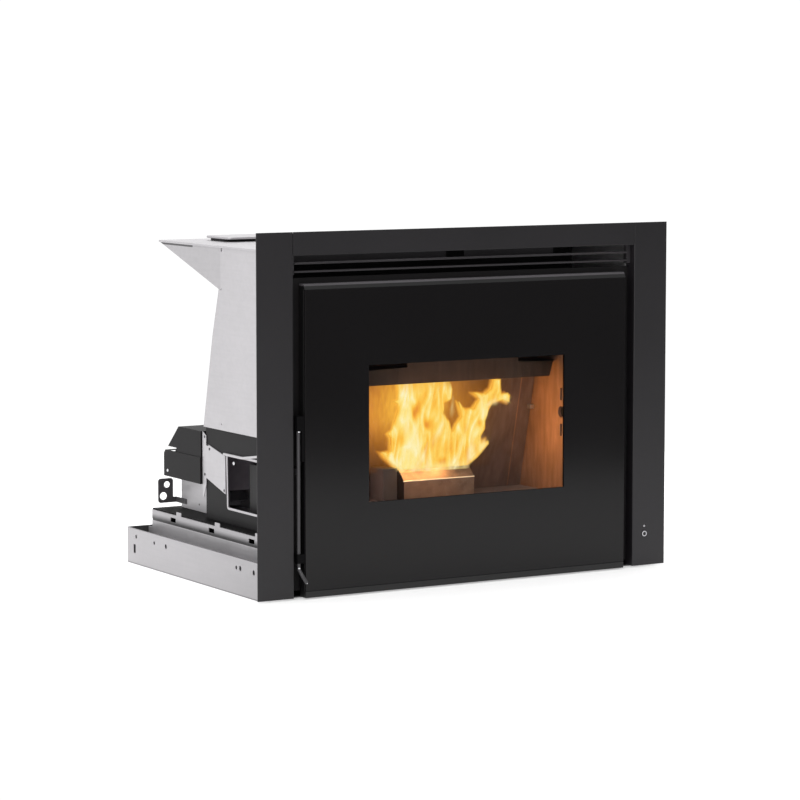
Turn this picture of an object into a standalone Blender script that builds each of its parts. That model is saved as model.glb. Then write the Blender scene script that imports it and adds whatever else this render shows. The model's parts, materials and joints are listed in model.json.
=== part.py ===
"""Slide-out pellet fireplace insert with a steel surround, one glass door and a galvanised body.

Metres, +Z up. Every position below is taken from the middle of the surround (x), its front face (y,
growing towards the back) and the underside of the base tray (z). One empty carries them all to the
model's own origin, the middle of the bounding box's underside.
"""

import math

import bmesh
import bpy
from mathutils import Matrix, Vector

# Clearances
REST = 0.0003
SLIDE_PLAY = 0.0006
PIN_PLAY = 0.00025
TURN_PLAY = 0.0012

# Sheet and plate
BODY_SHEET = 0.0012
SHEET = 0.0015
PLATE = 0.002
FIREBOX_PLATE = 0.003

# Surround
SURROUND_WIDTH = 0.800
SURROUND_TOP = 0.597
HEARTH_GAP = 0.0026
JAMB_WIDTH = 0.067
RAIL_HEIGHT = 0.038
JAMB_RETURN = 0.035
RETURN_DROP = 0.010
RAIL_RETURN = 0.008
EDGE_ROUNDING = 0.0015

# Door
DOOR_LEFT_GAP = 0.018
DOOR_RIGHT_GAP = 0.0225
DOOR_TOP_DROP = 0.084
DOOR_PROUD = 0.006
DOOR_DEPTH = 0.020
DOOR_SKIN = 0.002
GLASS_THICKNESS = 0.004
TOP_BEVEL = 0.009
TOP_BEVEL_SLOPE = 0.0045
BOTTOM_LIP = 0.0107
WINDOW_LEFT_MARGIN = 0.119
WINDOW_RIGHT_MARGIN = 0.1245
WINDOW_LOW = 0.1515
WINDOW_HIGH = 0.377
WINDOW_MARGIN = 0.016
SEAL_THICKNESS = 0.0054
SEAL_WIDTH = 0.009
SEAL_OUTSET = 0.010
SEAL_PAD_RIM = 0.006

# Door hinges and latch
HINGE_INSET = 0.0085
HINGE_DEPTH = 0.006
HINGE_PIN_RADIUS = 0.0025
HINGE_LOWER_LEVEL = 0.060
HINGE_UPPER_DROP = 0.073
HINGE_LUG_PLATE = 0.003
HINGE_LUG_HEAD = 0.005
HINGE_LUG_NECK = 0.006
HINGE_BLOCK_HEIGHT = 0.014
HINGE_BLOCK_WIDTH = 0.0125
LATCH_ROD_RADIUS = 0.0032
LATCH_ROD_INSET = 0.0095
LATCH_ROD_TOP = 0.2757
LATCH_ROD_LOW = 0.050
LATCH_BLOCK_TOP = 0.300
LATCH_BLOCK_LOW = 0.226
LATCH_BLOCK_DEPTH = 0.011
LATCH_BLOCK_WIDTH = 0.0145
LATCH_COLLAR_LOW = 0.060
LATCH_COLLAR_HEIGHT = 0.015
LEVER_REACH = 0.0078
LEVER_PROUD = 0.0125
LEVER_TIP = 0.0285
LATCH_CAM_LOW = 0.203
LATCH_CAM_HEIGHT = 0.010
LATCH_CAM_REACH = 0.009
LATCH_CAM_THICKNESS = 0.003
KEEPER_WIDTH = 0.010

# Air outlet above the door
SLAT_LOWER_DROP = 0.0665
SLAT_UPPER_DROP = 0.053
SLAT_THICKNESS = 0.003
SLAT_FRONT = 0.010
SLAT_REAR = 0.026
SLAT_END_GAP = 0.008
GRILLE_SIDE_DROP = 0.070
OUTLET_PLATE_DROP = 0.0535
OUTLET_PLATE_FRONT = 0.030
OUTLET_PLATE_END = 0.186
OUTLET_NOTCH = (-0.027, 0.008)

# Front plate
FRONT_PLATE_LOW = 0.012
FRONT_PLATE_DROP = 0.075

# Base tray and slides
TRAY_INSET = 0.0104
TRAY_FRONT = 0.020
TRAY_REAR = 0.504
TRAY_HEIGHT = 0.0625
TRAY_HOLES = (
    (0.470, 0.0488, 0.0034),
    (0.399, 0.0467, 0.0031),
    (0.354, 0.0463, 0.0041),
    (0.095, 0.0454, 0.0034),
    (0.081, 0.0457, 0.0043),
    (0.034, 0.0447, 0.0043),
)
TRAY_SLOT = (0.476, 0.027)
TRAY_SLOT_SIZE = (0.009, 0.015)
SLIDE_LOW = 0.010
SLIDE_HEIGHT = 0.044
SLIDE_WALL = 0.0018
SLIDE_FRONT = 0.030
SLIDE_REAR = 0.480
OUTER_SLIDE_LIP = 0.012
MIDDLE_SLIDE_LIP = 0.008

# Carriage
SLIDE_ROOM = 0.0396
CARRIAGE_LOW = 0.012
CARRIAGE_TOP = 0.092
CARRIAGE_REAR = 0.488
RAIL_FLANGE = 0.0145
RAIL_GROOVE = (0.073, 0.0765)
RAIL_GROOVE_DEPTH = 0.0006
RAIL_WINDOW_FIRST = 0.1155
RAIL_WINDOW_PITCH = 0.1445
RAIL_WINDOW_LEVEL = 0.0828
RAIL_WINDOW_SIZE = (0.020, 0.0075)
RAIL_TAB_SHIFT = 0.0215
RAIL_TAB_WIDTH = 0.018
RAIL_TAB_RISE = 0.0065
RAIL_TAIL_REAR = 0.501
RAIL_TAIL = (0.030, 0.0613)

# Body panels and hopper
BODY_INSET = 0.020
PANEL_LOW = 0.252
PANEL_LOW_REAR = 0.326
WAIST_DEPTH = 0.267
PANEL_KINK_DEPTH = 0.2912
PANEL_KINK_LEVEL = 0.409
WAIST_DROP = 0.073
WING_REAR = 0.487
BODY_TOP_DROP = 0.034
TOP_RIM = 0.0022
PANEL_NOTCH = 0.005
PANEL_NOTCH_DROP = 0.008
PANEL_HOLE_INSET = 0.0085
PANEL_HOLE_RISE = 0.0111
PANEL_HOLE_DEPTH = 0.2596
PANEL_HOLE_RADIUS = 0.0018
HOPPER_FRONT = 0.186
HOPPER_FUNNEL_LEVEL = 0.310
HOPPER_NECK_HALF = 0.020
HOPPER_NECK_FRONT = 0.236
HOPPER_NECK_RUN = 0.026
HOPPER_NECK_TOP = 0.272
LID_FRONT = 0.352
LID_REAR = 0.440
LID_INSET = 0.062
LID_THICKNESS = 0.004
LID_SEAL_INSET = 0.004
LID_SEAL_FRONT = 0.3695
LID_SEAL_REAR = 0.432
LID_SEAL_WIDTH = 0.008
LID_SEAL_HEIGHT = 0.0039
LID_SEAL_CORNER = 0.012
MOUTH_INSET = 0.006
LID_HINGE_RADIUS = 0.0025
LID_HINGE_HALF = 0.200

# Firebox
FIREBOX_INSET = 0.115
FIREBOX_TOP = 0.425
LINER_THICKNESS = 0.006
BACK_LINER_THICKNESS = 0.008
BACK_FOOT = 0.185
BACK_HEAD = 0.107
LINER_HOLE_DEPTH = 0.047
LINER_HOLE_LEVEL = 0.273
LINER_HOLE_RADIUS = 0.0098
LINER_SLOT_SIZE = (0.006, 0.021)
LINER_SLOT_SHIFT = 0.031
DEFLECTOR_FRONT = 0.050
DEFLECTOR_LOW = 0.336
DEFLECTOR_TOP = 0.361
DEFLECTOR_LIP_TOP = 0.364
DEFLECTOR_CREST = 0.384
DEFLECTOR_CREST_X = (-0.090, 0.129)
DEFLECTOR_END_GAP = 0.015
DEFLECTOR_SLANT = 0.007
POT_CENTRE = -0.0045
POT_HALF = 0.070
POT_FRONT = 0.088
POT_REAR = 0.150
POT_LIP_LEVEL = 0.1675
POT_BACK_LEVEL = 0.184
POT_LIP_RUN = 0.017
POT_WALL = 0.003
SEAT_TOP = 0.133
SEAT_HOLE_MARGIN = 0.012
POT_GUARD_WIDTH = 0.028
POT_GUARD_TOP = 0.188
ASH_PAN_FRONT = 0.043
ASH_PAN_REAR = 0.160
ASH_PAN_TOP = 0.126
ASH_PULL_HALF = 0.030
ASH_PULL_REACH = 0.004
IGNITER_RADIUS = 0.006
IGNITER_LEVEL = 0.150
IGNITER_TAIL = 0.030

# Feed
AUGER_LEVEL = 0.235
AUGER_TUBE_RADIUS = 0.022
AUGER_TUBE_WALL = 0.0013
AUGER_TUBE_FRONT = 0.138
AUGER_TUBE_REAR = 0.335
AUGER_FLIGHT_RADIUS = 0.0193
AUGER_SHAFT_RADIUS = 0.005
AUGER_PITCH = 0.034
AUGER_TURNS = 5
AUGER_FLIGHT_THICKNESS = 0.0018
GEAR_MOTOR_HALF = 0.030
GEAR_MOTOR_LENGTH = 0.050
GEAR_MOTOR_CAN_RADIUS = 0.024
GEAR_MOTOR_CAN_LENGTH = 0.045

# Smoke path, at the right rear
SMOKE_TO_FLUE = 0.105
SMOKE_DUCT_HALF = 0.040
SMOKE_DUCT_DEPTH = 0.026
SMOKE_DUCT_TOP = 0.415
SMOKE_FAN_RADIUS = 0.052
SMOKE_FAN_FRONT = 0.336
SMOKE_FAN_DEPTH = 0.044
SMOKE_IMPELLER_RADIUS = 0.040
FLUE_INSET = 0.075
FLUE_RADIUS = 0.040
FLUE_BOX_HALF = 0.050
FLUE_FLANGE = 0.046
SMOKE_MOTOR_RADIUS = 0.034
SMOKE_MOTOR_LENGTH = 0.065
FAN_SHAFT_RADIUS = 0.004
FAN_BLADES = 8
FAN_HUB = 0.004
FAN_BLADE_THICKNESS = 0.002
FAN_INLET_RADIUS = 0.026

# Room fan and its cover, at the left rear
COVER_FRONT = 0.3365
COVER_REAR = 0.476
COVER_TOP = 0.243
COVER_LOW = 0.152
COVER_TOP_REAR = 0.4215
COVER_SHOULDER = 0.1925
COVER_STEP = 0.0015
COVER_LAP = 0.004
COVER_SLOT_FRONT = 0.430
COVER_SLOT = (0.198, 0.205)
ROOM_FAN_INSET = 0.030
ROOM_FAN_WIDTH = 0.084
ROOM_FAN_REAR = 0.471
ROOM_IMPELLER_RADIUS = 0.044
ROOM_MOTOR_RADIUS = 0.030
ROOM_MOTOR_LENGTH = 0.055

# Left duct, service opening and brackets
DUCT_INSET = 0.004
DUCT_REAR = 0.3245
SERVICE_FRONT = 0.050
SERVICE_REAR = 0.2475
SERVICE_REAR_LOW = 0.2450
SERVICE_LOW = 0.119
SERVICE_TOP = 0.214
SERVICE_RIM = 0.004
SERVICE_CORNER = 0.006
FLANGE_REAR = 0.2552
FLANGE_KNEE = 0.1874
FLANGE_RAISED = 0.1353
FLANGE_LOW = 0.2100
FLANGE_RISE = 0.0075
FLANGE_WIDTH = 0.0042
FLANGE_PROUD = 0.002
STRIP_REAR = 0.335
STRIP_WIDTH = 0.0135
STRIP_LOW = 0.131
STRIP_FOOT = 0.005
STRIP_TAPER = 0.012
STRIP_TOP = 0.243
BRACKET_TOP = ((0.3125, 0.222), (0.251, 0.2085))
BRACKET_LOW = ((0.2505, 0.144), (0.3215, 0.1645))
BRACKET_HOLES = ((0.3260, 0.2345), (0.3260, 0.1700), (0.3085, 0.2150), (0.2548, 0.1500))
SIDE_SCREW_RADIUS = 0.0022
CONTROL_BOX_INSET = 0.020
CONTROL_BOX_WIDTH = 0.0595
CONTROL_BOX_Y = (0.120, 0.205)
CONTROL_BOX_TOP = 0.200
INLET_WIDTH = 0.028
INLET_HEIGHT = 0.048
INLET_DEPTH = 0.022
INLET_INSET = 0.036
CABLE_PLATE_FRONT = 0.4885
CABLE_PLATE_PROUD = 0.0065
CABLE_PLATE_WIDTH = 0.029
CABLE_PLATE_LOW = 0.1015
CABLE_PLATE_TOP = 0.1445
CABLE_ARM_TOP = 0.111
CABLE_ARM_LAP = 0.020
CABLE_HOLES = ((0.017, 0.1335, 0.0057), (0.010, 0.1135, 0.0068))

# Power button in the right jamb
BUTTON_INSET = 0.042
BUTTON_LEVEL = 0.0577
BUTTON_RADIUS = 0.0054
BUTTON_PROUD = 0.0006
BUTTON_TRAVEL = 0.002
BUTTON_LENGTH = 0.009
LAMP_RISE = 0.0133
LAMP_RADIUS = 0.002
HOUSING_HALF = 0.012
HOUSING_DEPTH = 0.014

# Levels and depths that follow from the sizes above
OPENING = SURROUND_WIDTH / 2 - JAMB_WIDTH
TRAY_HALF = SURROUND_WIDTH / 2 - TRAY_INSET
CARRIAGE_HALF = TRAY_HALF - SLIDE_ROOM
BODY_HALF = CARRIAGE_HALF - BODY_INSET
DUCT_HALF = BODY_HALF - DUCT_INSET
FIREBOX_INNER_HALF = BODY_HALF - FIREBOX_INSET
DEFLECTOR_HALF = FIREBOX_INNER_HALF - DEFLECTOR_END_GAP
LID_HALF = BODY_HALF - LID_INSET
LID_SEAL_HALF = LID_HALF - LID_SEAL_INSET
FLUE_CENTRE = BODY_HALF - FLUE_INSET
SMOKE_CENTRE = FLUE_CENTRE - SMOKE_TO_FLUE
ROOM_FAN_OUTER_X = ROOM_FAN_INSET - BODY_HALF
ROOM_FAN_INNER_X = ROOM_FAN_OUTER_X + ROOM_FAN_WIDTH
COVER_INNER_X = ROOM_FAN_INNER_X + COVER_LAP
CONTROL_BOX_LEFT = CONTROL_BOX_INSET - DUCT_HALF
CONTROL_BOX_X = (CONTROL_BOX_LEFT, CONTROL_BOX_LEFT + CONTROL_BOX_WIDTH)
INLET_ACROSS = DUCT_HALF - INLET_INSET
CABLE_PLATE_LEFT = -BODY_HALF - CABLE_PLATE_PROUD
CABLE_PLATE_RIGHT = CABLE_PLATE_LEFT + CABLE_PLATE_WIDTH
BUTTON_X = SURROUND_WIDTH / 2 - BUTTON_INSET
HOPPER_NECK_DEPTH = (HOPPER_NECK_FRONT, HOPPER_NECK_FRONT + HOPPER_NECK_RUN)
RAIL_LOW = SURROUND_TOP - RAIL_HEIGHT
DOOR_TOP = SURROUND_TOP - DOOR_TOP_DROP
HINGE_LEVELS = (HINGE_LOWER_LEVEL, DOOR_TOP - HINGE_UPPER_DROP)
SLAT_LEVELS = (SURROUND_TOP - SLAT_LOWER_DROP, SURROUND_TOP - SLAT_UPPER_DROP)
GRILLE_SIDE_LOW = SURROUND_TOP - GRILLE_SIDE_DROP
OUTLET_PLATE_LOW = SURROUND_TOP - OUTLET_PLATE_DROP
FRONT_PLATE_TOP = SURROUND_TOP - FRONT_PLATE_DROP
BODY_TOP = SURROUND_TOP - BODY_TOP_DROP
WAIST_LEVEL = BODY_TOP - WAIST_DROP
DOOR_LEFT = DOOR_LEFT_GAP - OPENING
DOOR_RIGHT = OPENING - DOOR_RIGHT_GAP
WINDOW_LEFT = DOOR_LEFT + WINDOW_LEFT_MARGIN
WINDOW_RIGHT = DOOR_RIGHT - WINDOW_RIGHT_MARGIN
DOOR_REAR = DOOR_DEPTH - DOOR_PROUD
GLASS_REAR = GLASS_THICKNESS - DOOR_PROUD
SKIN_FRONT = GLASS_REAR + REST
SKIN_REAR = SKIN_FRONT + DOOR_SKIN
PLATE_FRONT = DOOR_REAR + SEAL_THICKNESS + 2 * REST
PLATE_REAR = PLATE_FRONT + PLATE
BEHIND_PLATE = PLATE_REAR + REST
FLOOR_LOW = CARRIAGE_TOP + REST
FLOOR_TOP = FLOOR_LOW + PLATE
ON_FLOOR = FLOOR_TOP + REST
PANEL_TOP = BODY_TOP - SHEET - REST
SHELL_HALF = FIREBOX_INNER_HALF + LINER_THICKNESS + REST + FIREBOX_PLATE
SHELL_FLOOR = ON_FLOOR + FIREBOX_PLATE
SHELL_CEILING = FIREBOX_TOP - FIREBOX_PLATE
HINGE_X = DOOR_RIGHT - HINGE_INSET
LATCH_X = DOOR_LEFT - LATCH_ROD_INSET
SMOKE_LEVEL = ON_FLOOR + SMOKE_FAN_RADIUS
LID_LOW = BODY_TOP + 2 * REST + LID_SEAL_HEIGHT
LID_AXIS = (LID_REAR + LID_HINGE_RADIUS + TURN_PLAY, BODY_TOP + LID_HINGE_RADIUS - REST)
FRONT_REACH = LEVER_PROUD + LATCH_ROD_RADIUS
FACE_DEPTH = (FRONT_REACH - TRAY_REAR) / 2

# Directions for turning a shape drawn along its own Z to lie along an axis of the model
ALONG = {
    "X": Matrix(((0, 0, 1), (1, 0, 0), (0, 1, 0))).to_4x4(),
    "Y": Matrix(((1, 0, 0), (0, 0, 1), (0, -1, 0))).to_4x4(),
    "Z": Matrix.Identity(4),
}
ROUND_SIDES = 24
FAR = 0.02

for old in list(bpy.data.objects):
    bpy.data.objects.remove(old, do_unlink=True)

PARTS = bpy.data.collections.new("pellet_fireplace_insert")
CUTTERS = bpy.data.collections.new("cutters")
bpy.context.scene.collection.children.link(PARTS)
bpy.context.scene.collection.children.link(CUTTERS)


def add_empty(name, place, parent=None):
    empty = bpy.data.objects.new(name, None)
    empty.empty_display_size = 0.05
    empty.location = place
    empty.parent = parent
    PARTS.objects.link(empty)
    return empty


DATUM = add_empty("surround_face", (0, FACE_DEPTH, 0))


def finish(name, colour, roughness, metallic=0.0):
    material = bpy.data.materials.new(name)
    material.use_nodes = True
    shader = material.node_tree.nodes["Principled BSDF"]
    shader.inputs["Base Color"].default_value = (*colour, 1)
    shader.inputs["Roughness"].default_value = roughness
    shader.inputs["Metallic"].default_value = metallic
    return material


GALVANISED = finish("galvanised_sheet", (0.60, 0.59, 0.61), 0.42, 0.85)
TRAY_ZINC = finish("tray_zinc", (0.54, 0.53, 0.55), 0.45, 0.85)
BLACK_STEEL = finish("matt_black_steel", (0.030, 0.028, 0.031), 0.55)
DARK_STEEL = finish("dark_steel", (0.040, 0.038, 0.041), 0.5)
GLASS_BLACK = finish("printed_glass", (0.012, 0.010, 0.012), 0.12)
LINER_STEEL = finish("fired_liner", (0.30, 0.13, 0.05), 0.7)
POT_IRON = finish("pot_iron", (0.12, 0.07, 0.045), 0.6, 0.4)
DEFLECTOR_STEEL = finish("deflector_steel", (0.05, 0.028, 0.019), 0.6)
SEAL_CORD = finish("seal_cord", (0.02, 0.02, 0.022), 0.9)
SEAL_RUBBER = finish("seal_rubber", (0.015, 0.015, 0.015), 0.8)
BRIGHT_ZINC = finish("bright_zinc", (0.65, 0.65, 0.66), 0.3, 1.0)
MOTOR_BLACK = finish("motor_black", (0.03, 0.03, 0.03), 0.45)
MOULDING = finish("black_moulding", (0.02, 0.02, 0.022), 0.4)
BUTTON_PLASTIC = finish("button_plastic", (0.05, 0.05, 0.055), 0.3)
LAMP_LENS = finish("lamp_lens", (0.7, 0.7, 0.72), 0.2)
CERAMIC = finish("igniter_ceramic", (0.7, 0.66, 0.6), 0.7)


def new_object(name, mesh):
    thing = bpy.data.objects.new(name, mesh)
    thing.parent = DATUM
    PARTS.objects.link(thing)
    return thing


def box(name, low, high):
    """A block between two corners."""
    bm = bmesh.new()
    bmesh.ops.create_cube(bm, size=1)
    low, high = Vector(low), Vector(high)
    bmesh.ops.transform(bm, matrix=Matrix.Diagonal((*(high - low), 1)), verts=bm.verts)
    mesh = bpy.data.meshes.new(name)
    bm.to_mesh(mesh)
    bm.free()
    thing = new_object(name, mesh)
    thing.location = (low + high) / 2
    return thing


def round_bar(name, axis, centre, radius, low, high, sides=ROUND_SIDES):
    """A solid cylinder along an axis, from one position on that axis to another."""
    bm = bmesh.new()
    bmesh.ops.create_cone(
        bm, cap_ends=True, segments=sides, radius1=radius, radius2=radius, depth=high - low
    )
    mesh = bpy.data.meshes.new(name)
    bm.to_mesh(mesh)
    bm.free()
    mesh.shade_smooth()
    mesh.set_sharp_from_angle(angle=math.radians(40))
    thing = new_object(name, mesh)
    middle = (low + high) / 2
    first, second = centre
    place = {"X": (middle, first, second), "Y": (first, middle, second), "Z": (first, second, middle)}
    thing.matrix_basis = Matrix.Translation(place[axis]) @ ALONG[axis]
    return thing


def ring(name, axis, centre, outer, inner, low, high, sides=ROUND_SIDES):
    """A tube along an axis, turned from its wall's section."""
    mesh = bpy.data.meshes.new(name)
    section = ((outer, high - low), (outer, 0), (inner, 0), (inner, high - low))
    bm = bmesh.new()
    corners = [bm.verts.new((radius, 0, height)) for radius, height in section]
    for index, corner in enumerate(corners):
        bm.edges.new((corner, corners[(index + 1) % len(corners)]))
    bm.to_mesh(mesh)
    bm.free()
    thing = new_object(name, mesh)
    first, second = centre
    place = {"X": (low, first, second), "Y": (first, low, second), "Z": (first, second, low)}
    thing.matrix_basis = Matrix.Translation(place[axis]) @ ALONG[axis]
    turn = thing.modifiers.new("turn", "SCREW")
    turn.steps = turn.render_steps = sides
    turn.use_merge_vertices = True
    turn.merge_threshold = 0.00001
    return thing


def as_mesh(curve_object):
    """The curve's evaluated surface as a mesh object, with its caps welded."""
    graph = bpy.context.evaluated_depsgraph_get()
    mesh = bpy.data.meshes.new_from_object(curve_object.evaluated_get(graph))
    bm = bmesh.new()
    bm.from_mesh(mesh)
    bmesh.ops.remove_doubles(bm, verts=bm.verts, dist=0.00001)
    bmesh.ops.recalc_face_normals(bm, faces=bm.faces)
    bm.to_mesh(mesh)
    bm.free()
    name = curve_object.name
    place = curve_object.matrix_world.copy()
    bpy.data.objects.remove(curve_object, do_unlink=True)
    thing = new_object(name, mesh)
    thing.matrix_basis = place
    return thing


def plate(name, axis, outline, low, high, holes=()):
    """A flat outline, with any holes, thickened along an axis.

    The outline's pairs are (y, z) along X, (x, z) along Y and (x, y) along Z.
    """
    curve = bpy.data.curves.new(name, "CURVE")
    curve.dimensions = "2D"
    curve.fill_mode = "BOTH"
    curve.extrude = (high - low) / 2
    for loop in (outline, *holes):
        spline = curve.splines.new("POLY")
        spline.points.add(len(loop) - 1)
        for point, (across, up) in zip(spline.points, loop):
            point.co = (across, -up if axis == "Y" else up, 0, 1)
        spline.use_cyclic_u = True
    thing = bpy.data.objects.new(name, curve)
    CUTTERS.objects.link(thing)
    middle = (low + high) / 2
    place = {"X": (middle, 0, 0), "Y": (0, middle, 0), "Z": (0, 0, middle)}
    thing.matrix_world = Matrix.Translation(place[axis]) @ ALONG[axis]
    bpy.context.view_layer.update()
    return as_mesh(thing)


def bent_bar(name, points, radius):
    """A round bar along a bent line."""
    curve = bpy.data.curves.new(name, "CURVE")
    curve.dimensions = "3D"
    curve.bevel_depth = radius
    curve.bevel_resolution = 2
    curve.use_fill_caps = True
    spline = curve.splines.new("POLY")
    spline.points.add(len(points) - 1)
    for point, place in zip(spline.points, points):
        point.co = (*place, 1)
    thing = bpy.data.objects.new(name, curve)
    CUTTERS.objects.link(thing)
    bpy.context.view_layer.update()
    return as_mesh(thing)


def combine(target, operation, tools):
    for tool in tools:
        PARTS.objects.unlink(tool)
        CUTTERS.objects.link(tool)
        tool.hide_render = True
        tool.display_type = "WIRE"
        modifier = target.modifiers.new(tool.name, "BOOLEAN")
        modifier.operation = operation
        modifier.solver = "EXACT"
        modifier.object = tool
    return target


def cut(target, *tools):
    return combine(target, "DIFFERENCE", tools)


def fuse(target, *tools):
    return combine(target, "UNION", tools)


def paint(material, *things):
    for thing in things:
        thing.data.materials.clear()
        thing.data.materials.append(material)


def carry(empty, *things):
    """Hangs pieces on a joint's empty and leaves them where they are."""
    shift = Vector()
    holder = empty
    while holder != DATUM:
        shift -= holder.location
        holder = holder.parent
    for thing in things:
        thing.parent = empty
        thing.matrix_basis = Matrix.Translation(shift) @ thing.matrix_basis


def bevel(thing, width, segments=2):
    modifier = thing.modifiers.new("edge", "BEVEL")
    modifier.width = width
    modifier.segments = segments
    modifier.limit_method = "ANGLE"


def rounded(corners, radius, steps=4):
    """The outline with each corner turned into an arc."""
    points = []
    count = len(corners)
    for index in range(count):
        corner = Vector(corners[index])
        before = (Vector(corners[index - 1]) - corner).normalized()
        after = (Vector(corners[(index + 1) % count]) - corner).normalized()
        half = before.angle(after) / 2
        reach = radius / math.tan(half)
        centre = corner + (before + after).normalized() * (radius / math.sin(half))
        start = corner + before * reach - centre
        sweep = start.angle_signed(corner + after * reach - centre)
        for step in range(steps + 1):
            points.append(tuple(centre + Matrix.Rotation(-sweep * step / steps, 2) @ start))
    return points


def rectangle(low, high):
    return [(low[0], low[1]), (high[0], low[1]), (high[0], high[1]), (low[0], high[1])]


def grown(low, high, margin):
    return (low[0] - margin, low[1] - margin), (high[0] + margin, high[1] + margin)


def mirrored(outline):
    return [(-across, up) for across, up in outline]


def back_depth(level):
    """The front face of the leaning back liner at a level inside the firebox."""
    share = (level - SHELL_FLOOR) / (SHELL_CEILING - SHELL_FLOOR)
    return BACK_FOOT + (BACK_HEAD - BACK_FOOT) * share


def shell_rear(level):
    """The outer rear face of the firebox shell at a level."""
    return back_depth(level) + BACK_LINER_THICKNESS + REST + FIREBOX_PLATE


def make_base():
    inner = TRAY_HALF - PLATE
    tray = box("base_tray", (-TRAY_HALF, TRAY_FRONT, 0), (TRAY_HALF, TRAY_REAR, TRAY_HEIGHT))
    cut(
        tray,
        box("tray_space", (-inner, TRAY_FRONT - FAR, PLATE), (inner, TRAY_REAR - PLATE, TRAY_HEIGHT + FAR)),
    )
    for index, (depth, level, radius) in enumerate(TRAY_HOLES):
        cut(
            tray,
            round_bar(
                f"tray_hole_{index}", "X", (depth, level), radius, -TRAY_HALF - FAR, TRAY_HALF + FAR, 10
            ),
        )
    depth, level = TRAY_SLOT
    wide, tall = TRAY_SLOT_SIZE
    cut(
        tray,
        box(
            "tray_slot",
            (-TRAY_HALF - FAR, depth - wide / 2, level - tall / 2),
            (TRAY_HALF + FAR, depth + wide / 2, level + tall / 2),
        ),
    )
    paint(TRAY_ZINC, tray)


def slide_section(web, lip, low, height):
    """A channel open towards the carriage, as an outline of x and z on the right side."""
    top = low + height
    return [
        (web, low),
        (web, top),
        (lip, top),
        (lip, top - SLIDE_WALL),
        (web - SLIDE_WALL, top - SLIDE_WALL),
        (web - SLIDE_WALL, low + SLIDE_WALL),
        (lip, low + SLIDE_WALL),
        (lip, low),
    ]


def make_slides():
    """Three nested members on each side: the outer stays, the middle runs half as far as the inner."""
    middle_group = add_empty("middle_slide_travel", (0, SLIDE_FRONT, SLIDE_LOW), DATUM)
    step = SLIDE_WALL + SLIDE_PLAY
    outer_web = TRAY_HALF - PLATE - REST
    for side, sign in (("left", -1), ("right", 1)):
        sections = {
            "outer": slide_section(outer_web, CARRIAGE_HALF + OUTER_SLIDE_LIP, SLIDE_LOW, SLIDE_HEIGHT),
            "middle": slide_section(
                outer_web - step, CARRIAGE_HALF + MIDDLE_SLIDE_LIP, SLIDE_LOW + step, SLIDE_HEIGHT - 2 * step
            ),
            "inner": rectangle(
                (CARRIAGE_HALF + REST, SLIDE_LOW + 2 * step),
                (outer_web - 2 * step, SLIDE_LOW + SLIDE_HEIGHT - 2 * step),
            ),
        }
        for member, section in sections.items():
            outline = section if sign > 0 else mirrored(section)
            slide = plate(f"{member}_slide_{side}", "Y", outline, SLIDE_FRONT, SLIDE_REAR)
            paint(BRIGHT_ZINC, slide)
            if member == "middle":
                carry(middle_group, slide)


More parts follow.
